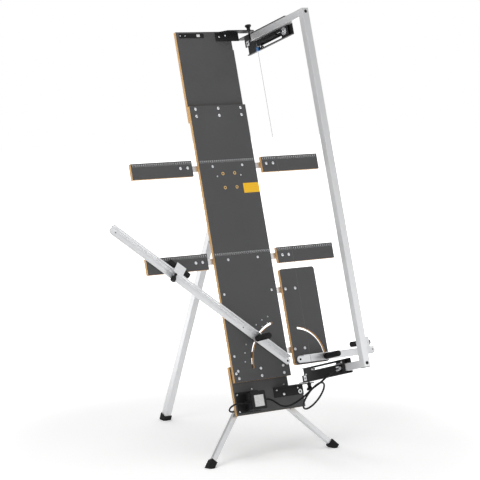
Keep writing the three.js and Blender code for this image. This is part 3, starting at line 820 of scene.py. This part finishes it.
# ------------------------------------------------------------------ operators
EYE = Vector((-4.2813, -6.3032, 1.8511))
TARGET = Vector((-0.0670, -0.1305, 0.8804))
LENS, SENSOR = 140.53, 36.0  # millimetres
FLOOR_REACH = 14.0
LAMPS = (  # name, place, target, diameter, watts
    ("upper_left", (-2.8, -1.0, 2.5), (0.2, -0.3, 1.6), 1.6, 26),
    ("lower_right", (2.6, -4.6, 1.4), (0, 0, 0.5), 3.0, 26),
    ("top", (0.2, 0.2, 5.6), (0, 0, 0.6), 4.2, 120),
)


class CUTTER_OT_stage(bpy.types.Operator):
    """Camera, floor, soft studio light and the finishes"""

    bl_idname = "cutter.stage"
    bl_label = "Stage"

    def execute(self, context):
        scene = context.scene
        scene.view_settings.view_transform = "Standard"
        camera = bpy.data.objects.new("camera", bpy.data.cameras.new("camera"))
        camera.data.lens = LENS
        camera.data.sensor_width = SENSOR
        camera.data.clip_end = 60.0
        camera.location = EYE
        camera.rotation_euler = (TARGET - EYE).to_track_quat("-Z", "Y").to_euler()
        scene.collection.objects.link(camera)
        scene.camera = camera
        for lamp in LAMPS:
            self.light(scene, *lamp)
        self.sky(scene)
        bm = bmesh.new()
        bmesh.ops.create_grid(bm, x_segments=4, y_segments=4, size=FLOOR_REACH)
        mesh = bpy.data.meshes.new("floor")
        bm.to_mesh(mesh)
        bm.free()
        floor = bpy.data.objects.new("floor", mesh)
        paint = Finish("floor_paint", (0.93, 0.93, 0.93), 0.85)
        paint.put("Roughness", 0.8 + paint.noise(3.0) * 0.1)
        paint.put("Emission Color", (1, 1, 1, 1))
        # the paint glows more away from the machine, so that the floor ends in white
        out = paint.node("ShaderNodeVectorMath", {"operation": "LENGTH"}, [paint.here()],
                         output="Value")
        paint.put("Emission Strength", 0.2 + out.step(0.8, 2.4) * 0.95)
        mesh.materials.append(paint.material)
        scene.collection.objects.link(floor)
        make_finishes()
        return {"FINISHED"}

    def light(self, scene, name, spot, target, size, watts):
        data = bpy.data.lights.new(name, "AREA")
        data.shape, data.size, data.energy = "DISK", size, watts
        lamp = bpy.data.objects.new(name, data)
        lamp.location = spot
        lamp.rotation_euler = (Vector(target) - Vector(spot)).to_track_quat("-Z", "Y").to_euler()
        scene.collection.objects.link(lamp)

    def sky(self, scene):
        """White behind the machine, and a soft bright-to-grey room for what it reflects."""
        sky = bpy.data.worlds.new("studio")
        sky.use_nodes = True
        nodes, links = sky.node_tree.nodes, sky.node_tree.links
        back = nodes["Background"]
        room = nodes.new("ShaderNodeBackground")
        spot = nodes.new("ShaderNodeTexCoord")
        split = nodes.new("ShaderNodeSeparateXYZ")
        ramp = nodes.new("ShaderNodeValToRGB")
        stops = ((0.0, 0.80), (0.42, 0.62), (0.55, 0.74), (0.75, 0.98), (1.0, 0.9))
        ramp.color_ramp.elements[0].position = stops[0][0]
        ramp.color_ramp.elements[0].color = (stops[0][1],) * 3 + (1,)
        ramp.color_ramp.elements[1].position = stops[-1][0]
        ramp.color_ramp.elements[1].color = (stops[-1][1],) * 3 + (1,)
        for position, grey in stops[1:-1]:
            ramp.color_ramp.elements.new(position).color = (grey, grey, grey, 1)
        half = nodes.new("ShaderNodeMath")
        half.operation = "MULTIPLY_ADD"
        half.inputs[1].default_value = half.inputs[2].default_value = 0.5
        links.new(spot.outputs["Generated"], split.inputs[0])
        links.new(split.outputs["Z"], half.inputs[0])
        links.new(half.outputs[0], ramp.inputs["Fac"])
        links.new(ramp.outputs["Color"], room.inputs["Color"])
        room.inputs["Strength"].default_value = 0.46
        back.inputs["Color"].default_value = (1, 1, 1, 1)
        back.inputs["Strength"].default_value = 1.0
        ray = nodes.new("ShaderNodeLightPath")
        mix = nodes.new("ShaderNodeMixShader")
        links.new(ray.outputs["Is Camera Ray"], mix.inputs[0])
        links.new(room.outputs[0], mix.inputs[1])
        links.new(back.outputs[0], mix.inputs[2])
        links.new(mix.outputs[0], nodes["World Output"].inputs["Surface"])
        scene.world = sky


class CUTTER_OT_cords(bpy.types.Operator):
    """Mains cord with its coil and plug, low-voltage lead, and what holds them"""

    bl_idname = "cutter.cords"
    bl_label = "Cords"

    def execute(self, context):
        plug = self.plug()
        self.mains(plug)
        self.lead()
        self.holders()
        return {"FINISHED"}

    def mains(self, plug):
        line = [*smooth_line(MAINS_ROUTE)[:-1], *coil_line()[:-1], *smooth_line(TAIL_ROUTE)]
        cord = settle("mains_flex", hose(line, MAINS_RADIUS), ["cord_sheath"], "board",
                      ("mains_cord", "mains_coil", "mains_tail"))
        path = [BOARD @ p for p in line]
        length_of(path)

    def plug(self):
        """A plain round two-pin plug with a ribbed neck."""
        neck = [(3.6, 0), (4.4, 0.6)]
        for i in range(5):
            h = 1.5 + i * 2.6
            neck += [(4.6 + i * 0.5, h), (5.2 + i * 0.5, h + 0.5), (5.2 + i * 0.5, h + 1.5),
                     (4.5 + i * 0.5, h + 1.9)]
        body = [(0, 0), *neck, (11, 15.5), (15, 20), (16, 23), (16, 39), (15.2, 41.5), (13, 42),
                (0, 42)]
        work = Work().add("moulded_plastic", turned(body, PLUG_TOP, -TO_S, 36, 0.25))
        work.add("moulded_plastic", block((-63.2, -28.8), (487, 502), (-39.5, -34.5), 1.2))
        for x in (-55.5, -36.5):
            pin = [(0, 20), (1.7, 20), (2.4, 18.6), (2.4, 0), (0, 0)]
            work.add("zinc_plate", turned(pin, (x, 485, -37), -TO_S, 16))
        return work.piece("mains_plug_body", "board", "mains_plug")

    def lead(self):
        line = smooth_line(LEAD_ROUTE, 3.0)
        path = [BOARD @ p for p in line]
        lead = settle("bow_lead", hose(line, LEAD_RADIUS), ["cord_sheath"], None,
                      ("low_voltage_lead",))
        world(*LEAD_ROUTE[6])
        world(*LEAD_ROUTE[-3])
        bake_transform(lead)
        length_of(path)

    def holders(self):
        """Ribbed strain reliefs, saddle clips, the coil's strap and its hook."""
        work = Work()
        for start, end, direction, big, small in (
                (-100.3, -86, -TO_X, 6.5, 4.3), (-32.7, -83.5, TO_X, 7.5, 4.9)):
            d = 12 if direction.x < 0 else 15
            profile = [(0, 0), (big + 0.8, 0), (big + 0.8, 3.2)]
            ribs = 6
            for i in range(ribs):
                r = big + (small - big) * i / (ribs - 1)
                h = 4.0 + i * 2.45
                profile += [(r - 0.7, h), (r, h + 0.3), (r, h + 1.4), (r - 0.7, h + 1.7)]
            profile += [(small, 19.5), (small * 0.9, 20.4), (0, 20.4)]
            if direction.x > 0:
                profile = [(r, h * 0.86) for r, h in profile]
            work.add("soft_rubber", turned(profile, (start, end, d), direction, 24))
        work.piece("strain_reliefs", "board", "mains_gland", "lead_gland")
        clips = Work()
        for x, s, d, base in ((-103, 265, -25, -15), (-103, 412, -25, -15),
                              (-98.6, 52, -35, -30.3), (-101, 140, -29.3, -15)):
            arch = [(x - 13, s, base), (x - 13, s, base - 1.6), (x - 5.4, s, base - 1.8),
                    (x - 5.2, s, d), (x - 3.9, s, d - 3.6), (x, s, d - 5.2), (x + 3.9, s, d - 3.6),
                    (x + 5.2, s, d), (x + 5.4, s, base - 1.2), (x + 3.7, s, base),
                    (x + 3.7, s, d), (x + 2.6, s, d - 2.5), (x, s, d - 3.6), (x - 2.6, s, d - 2.5),
                    (x - 3.7, s, d), (x - 3.7, s, base)]
            clips.add("moulded_plastic", prism(arch, TO_S * 8, 0.2))
            clips.add("zinc_plate", flat_screw(x - 9.4, s + 4, base - 1.6, 2.6, 0.8, -TO_D))
        clips.piece("cord_clips", "board")
        strap = Work()
        loop = [(21.8, -21.0), (56.2, -21.0), (57.0, -22.0), (57.0, -36.4), (56.2, -37.4),
                (21.8, -37.4), (21.0, -36.4), (21.0, -22.0)]
        for turn in (math.radians(205), math.radians(322)):
            bm = bmesh.new()
            ring = [bm.verts.new((r, -d, -6)) for r, d in loop]
            rim = [bm.edges.new(pair) for pair in zip(ring, ring[1:] + ring[:1])]
            grown = bmesh.ops.extrude_edge_only(bm, edges=rim)["geom"]
            bmesh.ops.translate(
                bm, vec=(0, 0, 12), verts=[v for v in grown if isinstance(v, bmesh.types.BMVert)])
            bmesh.ops.recalc_face_normals(bm, faces=bm.faces)
            bmesh.ops.solidify(bm, geom=bm.faces[:], thickness=1.1)
            bmesh.ops.recalc_face_normals(bm, faces=bm.faces)
            soften(bm, 0.15)
            spin = Matrix.Translation(place(*COIL_MIDDLE, 0)) @ Matrix.Rotation(-turn, 4, "Y")
            bmesh.ops.transform(bm, matrix=spin, verts=bm.verts)
            strap.add("webbing", bm)
        strap.piece("coil_straps", "board")
        edged("cord_hook", "zinc_plate", 0.0003)


class CUTTER_OT_board(bpy.types.Operator):
    """Panels, arms and the flat bars that join them"""

    bl_idname = "cutter.board"
    bl_label = "Board and arms"

    def execute(self, context):
        width = sizes().edge_round
        for node in ("main_panel", "top_panel", "lower_panel", "side_board", "arm_upper_left",
                     "arm_upper_right", "arm_lower_left", "arm_lower_right"):
            edged(node, "coated_ply", width)
        for node in ("upper_arm_bar", "lower_arm_bar", "upper_side_bar", "lower_side_bar"):
            edged(node, "zinc_plate", width)
        return {"FINISHED"}


LONE_BOLT = (-126, 35)
BRACKET_BOLTS = [(x, s) for x in (-29, 29) for s in (857, 798)]  # of the rear leg's bracket


class CUTTER_OT_fastenings(bpy.types.Operator):
    """Domed bolts, grey bolts, screws and the nuts behind them"""

    bl_idname = "cutter.fastenings"
    bl_label = "Bolts and screws"

    def execute(self, context):
        radius, height = sizes().bolt_radius / MM, sizes().bolt_height / MM
        panels = [(x, s) for s in (1132, 1102) for x in (-110, 2, 113)]
        panels += [(x, s) for s in (45, 15) for x in (-115, -3, 108)]
        bars = [(side * x, 889) for side in (-1, 1) for x in (195, 229)]
        bars += [(side * x, 499) for side in (-1, 1) for x in (198, 230)]
        bars += [(184, 356), (233, 356), (182, 104), (231, 104)]
        grey = [(-73, 889), (73, 889), (-73, 500), (73, 500), (-120, 360), (114, 359),
                (-121, 106), (114, 105)]
        work = Work()
        for x, s in (*panels, *bars, LONE_BOLT):
            work.add("zinc_plate", domed_bolt(x, s, 0, radius, height))
        for x, s in grey:
            work.add("zinc_plate", domed_bolt(x, s, 0, 5.4, 1.8))
        for x, s in ((-58, 847), (58, 847)):
            work.add("zinc_plate", flat_screw(x, s, 0, 3.4))
        work.piece("board_bolts", "board")
        small = Work()
        for x, s in ((72, 251), (41, 240), (65, 225), (9, 223), (37, 213), (-56, 148),
                     (-68, 115), (-74, 79)):
            small.add("zinc_plate", washer(x, s, 0, 2.6, 1.3, 0.3, sides=12))
        small.add("powder_coat", washer(*LONE_BOLT, 0, radius * 1.45, radius, 0.6))
        profile = [(0, -0.1), (3.3, -0.1), (3.3, 0.1), (6.6, 0.35), (7.0, 0.2), (7.0, -0.2),
                   (0, -0.2)]
        for x, s in BRACKET_BOLTS:
            small.add("raw_bore", turned(profile, (x, s, 0), TO_D, 20))
            small.add("powder_coat", domed_bolt(x, s, 0.05, 3.4, 0.5))
        small.piece("panel_fixings", "board")
        nuts = Work()
        for d, spots in ((PANEL_BACK, panels), (BAR_BACK, bars)):
            for x, s in spots:
                if abs(x) < 20:  # a low cap, which the folded rear leg clears
                    nuts.add("zinc_plate", domed_bolt(x, s, d, 7.0, 2.2, -TO_D))
                    continue
                nuts.add("zinc_plate", washer(x, s, d, 8.0, 3.2, 1.4, -TO_D, 18))
                nuts.add("zinc_plate", hex_nut(x, s, d - 1.4, 6.2, 4.6, -TO_D))
                nuts.add("zinc_plate", stud(x, s, d - 5.5, 2.9, 4.2, -TO_D))
        for x, s in grey:
            nuts.add("zinc_plate", hex_nut(x, s, BAR_BACK, 6.2, 4.2, -TO_D))
            nuts.add("zinc_plate", stud(x, s, -24, 2.9, 2.6, -TO_D))
        for x, s in BRACKET_BOLTS:
            nuts.add("zinc_plate", hex_nut(x, s, -18.3, 7.0, 5.0, -TO_D))
        for side in (-1, 1):
            for s in (-58, -2):
                nuts.add("zinc_plate", hex_nut(side * 45, s, -33.6, 5.0, 3.6, -TO_D))
        nuts.piece("board_nuts", "board")
        return {"FINISHED"}


class CUTTER_OT_markings(bpy.types.Operator):
    """Printed rulers and blank labels"""

    bl_idname = "cutter.markings"
    bl_label = "Rulers and labels"

    def execute(self, context):
        pitch = sizes().tick_pitch / MM
        rulers = Work()
        for top in (919, 533):
            for x0, x1 in ((-459, -174), (-137, 137), (174, 459)):
                rulers.add("ruler_ink", block((x0, x1), (top - 13.3, top - 13.0), (-0.1, 0.12), 0))
                first = math.ceil(x0 * 2 / pitch)
                last = math.floor(x1 * 2 / pitch)
                for i in range(first, last + 1):
                    x = i * pitch / 2
                    low, half = (top - 10.4, 0.85) if i % 2 == 0 else (top - 6.6, 0.16)
                    rulers.add("ruler_ink", block(
                        (x - half, x + half), (low, top - 4.2), (-0.1, 0.12), 0))
        rulers.piece("rulers", "board")
        notice = Work().add("yellow_label", block((61, 138.6), (771, 812), (-0.1, 0.3), 0.1))
        notice.piece("yellow_notice", "board")
        plate = Work()
        plate.add("moulded_plastic", block((-121, 0), (1437, 1456), (BEHIND - 0.2, -13.9), 0.4))
        plate.add("pale_label", block((-36, -20), (1441, 1452), (-14.0, -13.6), 0.1))
        for x in (-116, -92):
            plate.add("zinc_plate", domed_bolt(x, 1446.5, -13.9, 2.4, 1.0))
        plate.piece("blank_plate", "board")
        label = Work().add("pale_label", block((-90, -45), (-108, -62), (44.8, 45.3), 0.1))
        label.piece("transformer_label", "board")
        return {"FINISHED"}


class CUTTER_OT_hinges(bpy.types.Operator):
    """Hinge brackets, pivot bolts and the flared locking knobs"""

    bl_idname = "cutter.hinges"
    bl_label = "Hinges and knobs"

    def execute(self, context):
        width = sizes().edge_round
        for node in ("top_hinge_bracket", "bottom_hinge_bracket"):
            edged(node, "powder_coat", width)
        for node in ("top_pivot_bolt", "bottom_pivot_bolt"):
            edged(node, "zinc_plate", 0.0004)
        flare = [(5.45, 0.0), (8.6, 0.0), (9.2, 0.8), (9.2, 3.0), (8.0, 4.6), (7.4, 8.0),
                 (7.6, 12.0), (8.8, 15.6), (11.0, 18.2), (12.6, 19.6), (12.9, 21.0), (12.9, 25.0),
                 (12.3, 26.6), (10.6, 27.6), (8.2, 28.0), (5.45, 28.0)]
        for name, body, s, way in (("top_lock_knob", "top_knob", 1458.3, TO_S),
                                   ("bottom_lock_knob", "bottom_knob", -44.3, -TO_S)):
            work = Work().add("moulded_plastic", turned(
                flare, (WIRE_X, s, PIVOT_D), way, 60, 0.0, 12, 0.5, 10.5))
            work.piece(name + "_flared", body, name)
        fixings = Work()
        fixings.add("zinc_plate", domed_bolt(106, 1446, -12, 4.6, 2.2),
                    domed_bolt(74, 1440, -12, 4.0, 2.0),
                    domed_bolt(97, -71, -12, 6.2, 2.4), flat_screw(169, -54, -12, 3.6, 0.8),
                    washer(178, -70, -12, 9.4, 4.8, 1.6), domed_bolt(64, -52, -12, 3.6, 1.6))
        fixings.add("powder_coat", domed_bolt(178, -70, -11.8, 4.8, 0.7))
        fixings.add("zinc_plate", domed_bolt(-54, -33, BEHIND, 4.2, 1.8),
                    domed_bolt(106, -32, BEHIND, 3.0, 1.0))
        fixings.piece("bracket_screws", "board")
        return {"FINISHED"}


class CUTTER_OT_carriages(bpy.types.Operator):
    """The folded carriages that guide the bow, and the lead's terminal"""

    bl_idname = "cutter.carriages"
    bl_label = "Carriages"

    def execute(self, context):
        for node in ("upper_carriage", "lower_carriage"):
            edged(node, "powder_coat", sizes().edge_round)
        trim = Work()
        trim.add("powder_coat", block((200.4, 203), (1390, 1440), (-14, 22), 0.4),
                 block((199.2, 202), (-36.8, 1.8), (24, 46.4), 0.2))
        for s, d, x in ((1403, 8, 200.3), (-20.5, 8, 202.9)):
            trim.add("zinc_plate", block((x - 2.2, x), (s - 10.5, s + 10.5), (d - 9.5, d + 9.5),
                                         0.5))
            trim.add("zinc_plate", washer(x - 2.2, s, d, 6.4, 3.6, 1.2, -TO_X))
            trim.add("powder_coat", domed_bolt(x - 2.1, s, d, 4.0, 1.4, -TO_X))
        for s, spots in ((1403, (40, 150, 262)), (-8, (60, 150, 250))):
            for d in spots:
                trim.add("zinc_plate", domed_bolt(237.2, s, d, 4.2, 2.2, TO_X))
        trim.piece("carriage_trim", "carriage")
        self.terminal()
        return {"FINISHED"}

    def terminal(self):
        """A moulded terminal with two clamping screws and a bright contact plate."""
        work = Work()
        work.add("moulded_plastic", block((190.5, 198.7), (-27, 1), (240, 267), 0.8),
                 block((184.7, 191), (-27, -23.5), (241, 266), 0.6),
                 block((184.7, 191), (-2.5, 1), (241, 266), 0.6),
                 block((185.6, 191), (-14.6, -11.4), (247, 266), 0.4))
        work.add("moulded_plastic", rod((191.2, -13.8, 235.5), (191.2, -13.8, 245), 6.0, 5.2))
        for s in (-19.2, -7.0):
            work.add("zinc_plate", block((186.2, 190.8), (s - 3.6, s + 3.6), (247, 264), 0.4))
            work.add("zinc_plate", domed_bolt(186.2, s, 251.5, 2.9, 1.3, -TO_X),
                     domed_bolt(186.2, s, 259.8, 2.9, 1.3, -TO_X))
        work.add("zinc_plate", block((186, 196), (-20, -6), (266.6, 269.4), 0.4))
        work.add("zinc_plate", hex_nut(193, -13, 269, 4.6, 3.4, TO_D))
        work.piece("lead_terminal_block", "carriage", "lead_terminal")


class CUTTER_OT_bow(bpy.types.Operator):
    """The sliding bow: tubes, wire carriers, spring, insulator and hot wire"""

    bl_idname = "cutter.bow"
    bl_label = "Bow"

    def execute(self, context):
        tube = sizes().tube_round
        edged("bow_post", "bow_aluminium", tube, 3)
        edged("bow_upper_arm", "arm_aluminium", tube, 3)
        edged("bow_lower_arm", "arm_aluminium", tube, 3)
        for node in ("upper_wire_carrier", "lower_wire_carrier"):
            edged(node, "powder_coat", 0.0004)
        edged("spring_anchor", "zinc_plate", 0.0005)
        edged("wire_insulator", "glazed_insulator", 0.0008, 3)
        edged("cutting_wire", "heating_wire", 0.0)
        self.spring()
        self.fittings()
        return {"FINISHED"}

    def spring(self):
        x, s = WIRE_X - 3, 1391
        work = Work()
        work.add("powder_coat", helix((x, s, 66), TO_D, 5.5, 1.0, 130, sizes().spring_turns))
        for d, way in ((66, -TO_D), (196, TO_D)):
            work.add("powder_coat", rod((x, s + 5.2, d), (x, s, d + 7 * -way.y), 1.1, sides=8))
        work.add("powder_coat", rod((x, s, 59), (x, s, 47), 1.1, sides=8))
        work.add("zinc_plate", rod((x, s, 203), (x, s, 232), 1.5, sides=10))
        profile = [(4.6, -1.1), (6.8, -1.1), (6.8, 1.1), (4.6, 1.1)]
        work.add("zinc_plate", turned(profile, (x, s - 0.8, 236.5), TO_X, 20, 0.4))
        work.piece("wire_spring", "bow", "tension_spring")

    def fittings(self):
        """Black screws in the post, the anchor's nut and the wire's end pieces."""
        work = Work()
        for s in (1423, -13.6):
            work.add("powder_coat", domed_bolt(WIRE_X, s, 415, 7.0, 2.8))
        work.add("moulded_plastic", block((203.6, 232.4), (-30.4, -28.4), (385.6, 414.4), 0.6))
        work.add("moulded_plastic", block((205.2, 230.8), (-29, -20), (387.2, 412.8), 0.4))
        work.add("powder_coat", hex_nut(210.2, 1389, 243, 6.4, 5.0, -TO_X))
        work.add("zinc_plate", washer(218.4, 1389, 243, 11.5, 4.2, 1.2, -TO_X))
        work.add("zinc_plate", domed_bolt(223.9, 1376, 60, 4.6, 2.4, -TO_X),
                 domed_bolt(223.9, 11, 32, 4.0, 2.2, -TO_X),
                 domed_bolt(223.9, 11, 240, 4.6, 2.6, -TO_X),
                 domed_bolt(223.9, 1379, 44, 3.2, 1.8, -TO_X))
        work.add("zinc_plate", rod((218, 6, 45), (218, 9, 45), 2.6, 2.0, 12),
                 rod((218, 9, 45), (224.4, 9, 45), 1.6, sides=10))
        work.add("zinc_plate", rod((215.4, 1391, 46.5), (218, 1371, 45), 1.0, sides=8))
        bright = [(0, 0), (2.2, 0), (2.2, 3.4), (3.0, 3.6), (3.0, 5.6), (0, 5.6)]
        work.add("zinc_plate", turned(bright, (215.8, 5.5, 208), TO_D, 14),
                 block((208, 224.4), (4.4, 7.2), (214, 244), 0.4))
        work.piece("bow_fittings", "bow")


FENCE_HALF = 15.0
NUT_ROOM = 6.3  # from the fence's edge to the bumper, past the bracket's foot and its nut
BUMPER_RADIUS = 11.8


class CUTTER_OT_fences(bpy.types.Operator):
    """The two angle fences with their grips and sliding stops"""

    bl_idname = "cutter.fences"
    bl_label = "Fences"

    def execute(self, context):
        fold = 0.0006
        for fence, stop, finish in (("long_fence", "long_stop", "long_fence_aluminium"),
                                    ("short_fence", "short_stop", "short_fence_aluminium")):
            edged(fence, finish, fold)
            edged(stop + "_bracket", finish, fold)
        self.grip(LONG_AXES, -168, "long_fence_grip", "long_grip")
        self.grip(SHORT_AXES, 132, "short_fence_grip", "short_grip")
        self.stop(LONG_AXES, -620, -27, "long_stop_knob")
        self.stop(SHORT_AXES, 328, -14, "short_stop_knob")
        self.bumper(LONG_AXES, (-672, -566), 20.4, "long_stop_bumper", "long_stop")
        self.bumper(SHORT_AXES, (262, 360), 15.4, "short_stop_bumper", "short_stop")
        self.bracket_screws(LONG_AXES, "long_stop", -620, 20, 37.2)
        self.bracket_screws(SHORT_AXES, "short_stop", 328, 32, 32.2)
        self.pivots()
        return {"FINISHED"}

    def grip(self, axes, u, node, body):
        """A ribbed rubber handle on its clamping stud, with the nut behind the panel."""
        profile = [(0, 0), (10.6, 0), (12.4, 0.8), (12.6, 3.0), (11.4, 5.0)]
        for i in range(11):
            h = 8 + i * 6.4
            profile += [(11.5, h - 1.6), (12.5, h - 0.6), (12.5, h + 2.0), (11.5, h + 3.0)]
        profile += [(11.9, 80), (12.6, 82), (12.6, 86.5), (11.6, 89.6), (9.0, 91.4), (4.0, 92),
                    (0, 92)]
        work = Work(axes).add("soft_rubber", turned(profile, (u, -1, 6.5), TO_D, 36))
        work.add("zinc_plate", washer(u, -1, 6.3, 12.0, 4.0, 0.6))
        work.add("zinc_plate", rod((u, -1, -13), (u, -1, 8.2), 3.9, sides=16))
        work.add("zinc_plate", rod((u, -1, -14.6), (u, -1, -12.2), 11.6, sides=24, round_by=0.4))
        work.piece(node + "_ribbed", body, node)

    def stop(self, axes, u, low, node):
        """A knurled thumb knob with its neck, screw and nut."""
        profile = [(0, 0), (8.6, 0), (10.2, 1.2), (10.5, 2.4), (10.5, 14.5), (9.8, 16.2),
                   (7.0, 17.4), (7.0, 21), (0, 21)]
        work = Work(axes).add("moulded_plastic", turned(
            profile, (u, low, 19.5), TO_S, 72, 0.0, 18, 0.42, 8.7))
        work.add("moulded_plastic", rod((u, low + 20, 19.5), (u, 8, 19.5), 6.0))
        work.add("zinc_plate", rod((u, 7, 19.5), (u, 21, 19.5), 3.0, sides=16))
        work.add("zinc_plate", hex_nut(u, 18.4, 19.5, 5.5, 2.6, TO_S))
        work.piece(node + "_knurled", node, node)

    def bumper(self, axes, reach, d, node, body):
        """A round rubber bumper with chamfered ends."""
        u0, u1 = reach
        long, r = u1 - u0, BUMPER_RADIUS
        n = FENCE_HALF + NUT_ROOM + r
        profile = [(0, 0), (r - 2.4, 0), (r - 0.6, 0.9), (r, 2.6), (r, long - 2.6),
                   (r - 0.6, long - 0.9), (r - 2.4, long), (0, long)]
        work = Work(axes).add("soft_rubber", turned(profile, (u0, n, d), TO_X, 28))
        work.piece(node + "_round", body, node)

    def bracket_screws(self, axes, body, u, n, face):
        work = Work(axes)
        for du in (-12, 12):
            work.add("zinc_plate", domed_bolt(u + du, n, face, 3.4, 1.6))
        work.piece(body + "_screws", body)

    def pivots(self):
        """Pivot screws, washers and the fences' small marks."""
        for axes, name, body, side, slots in (
                (LONG_AXES, "long_fence_fittings", "long_fence", -1, (246, 922)),
                (SHORT_AXES, "short_fence_fittings", "short_fence", 1, (184, 378))):
            work = Work(axes)
            work.add("zinc_plate", washer(0, 0, 6.1, 9.0, 4.0, 1.2),
                     rod((0, 0, -14.5), (0, 0, 7), 4.0, sides=16))
            work.add("powder_coat", domed_bolt(0, 0, 7.2, 5.0, 2.8, sides=20))
            for u in slots:
                work.add("powder_coat", domed_bolt(side * u, 2, 6.2, 2.6, 1.0))
            work.piece(name, body)


class CUTTER_OT_power(bpy.types.Operator):
    """The transformer on its plate"""

    bl_idname = "cutter.power"
    bl_label = "Transformer"

    def execute(self, context):
        edged("transformer_plate", "powder_coat", sizes().edge_round)
        work = Work()
        x0, x1, s0, s1 = -100, -33, -120, -45
        corner = 5.0

        def outline(grow, d):
            spots = []
            for cx, cs, start in ((x1 - corner, s0 + corner, -90), (x1 - corner, s1 - corner, 0),
                                  (x0 + corner, s1 - corner, 90), (x0 + corner, s0 + corner, 180)):
                for i in range(5):
                    a = math.radians(start + 22.5 * i)
                    spots.append((cx + (corner + grow) * math.cos(a),
                                  cs + (corner + grow) * math.sin(a), d))
            return spots

        work.add("moulded_plastic", prism(outline(0, -11.7), TO_D * 40.5, 0.3),
                 prism(outline(-0.7, 28), TO_D * 2, 0.0),
                 prism(outline(0, 29.6), TO_D * 15.4, 1.6),
                 prism(outline(2.4, -11.9), TO_D * 3, 0.5))
        for x in (x0 + 7.5, x1 - 7.5):
            for s in (s0 + 7.5, s1 - 7.5):
                work.add("powder_coat", flat_screw(x, s, 44.8, 2.6, 0.6))
        for i in range(7):
            x = x0 + 13 + i * 6.8
            work.add("powder_coat", block((x, x + 2.6), (s1 - 0.1, s1 + 0.5), (-2, 22), 0.2))
        work.piece("transformer_case", "board", "transformer_housing")
        screws = Work()
        screws.add("zinc_plate", *[domed_bolt(-132, s, -12, 3.0, 1.6) for s in (-50, -117)],
                   *[domed_bolt(-129.5, s, -12, 2.6, 1.4) for s in (-47.5, -118.5)])
        screws.piece("plate_screws", "board")
        return {"FINISHED"}


class CUTTER_OT_legs(bpy.types.Operator):
    """The folding legs, their brackets and rubber feet"""

    bl_idname = "cutter.legs"
    bl_label = "Legs"

    def execute(self, context):
        tube = 0.0007
        for leg, foot, finish in (("rear_leg", "rear_foot", "rear_leg_aluminium"),
                                  ("front_leg_left", "front_foot_left", "left_leg_aluminium"),
                                  ("front_leg_right", "front_foot_right", "right_leg_aluminium")):
            edged(leg, finish, tube, 3)
            edged(foot, "soft_rubber", 0.0012, 3)
        for node in ("rear_leg_bracket", "front_leg_bracket_left", "front_leg_bracket_right"):
            edged(node, "powder_coat", sizes().edge_round)
        edged("rear_leg_pin", "zinc_plate", 0.0004)
        return {"FINISHED"}


class CUTTER_PT_panel(bpy.types.Panel):
    """The steps that build the cutter, and its sizes and colours"""

    bl_label = "Foam Cutter"
    bl_idname = "CUTTER_PT_panel"
    bl_space_type = "VIEW_3D"
    bl_region_type = "UI"
    bl_category = "Foam Cutter"

    def draw(self, context):
        for operator in OPERATORS:
            self.layout.operator(operator.bl_idname)
        for group in (context.scene.cutter_sizes, context.scene.cutter_colours):
            box = self.layout.box()
            for key in group.__annotations__:
                box.prop(group, key)


OPERATORS = (
    CUTTER_OT_stage, CUTTER_OT_cords, CUTTER_OT_board, CUTTER_OT_fastenings,
    CUTTER_OT_markings, CUTTER_OT_hinges, CUTTER_OT_carriages, CUTTER_OT_bow,
    CUTTER_OT_fences, CUTTER_OT_power, CUTTER_OT_legs,
)
CLASSES = (CutterSizes, CutterColours, *OPERATORS, CUTTER_PT_panel)


def register():
    for cls in CLASSES:
        bpy.utils.register_class(cls)
    bpy.types.Scene.cutter_sizes = PointerProperty(type=CutterSizes)
    bpy.types.Scene.cutter_colours = PointerProperty(type=CutterColours)


def unregister():
    del bpy.types.Scene.cutter_colours
    del bpy.types.Scene.cutter_sizes
    for cls in reversed(CLASSES):
        bpy.utils.unregister_class(cls)


def main():
    register()
    for operator in OPERATORS:
        group, name = operator.bl_idname.split(".")
        getattr(getattr(bpy.ops, group), name)()


if __name__ == "__main__":
    main()
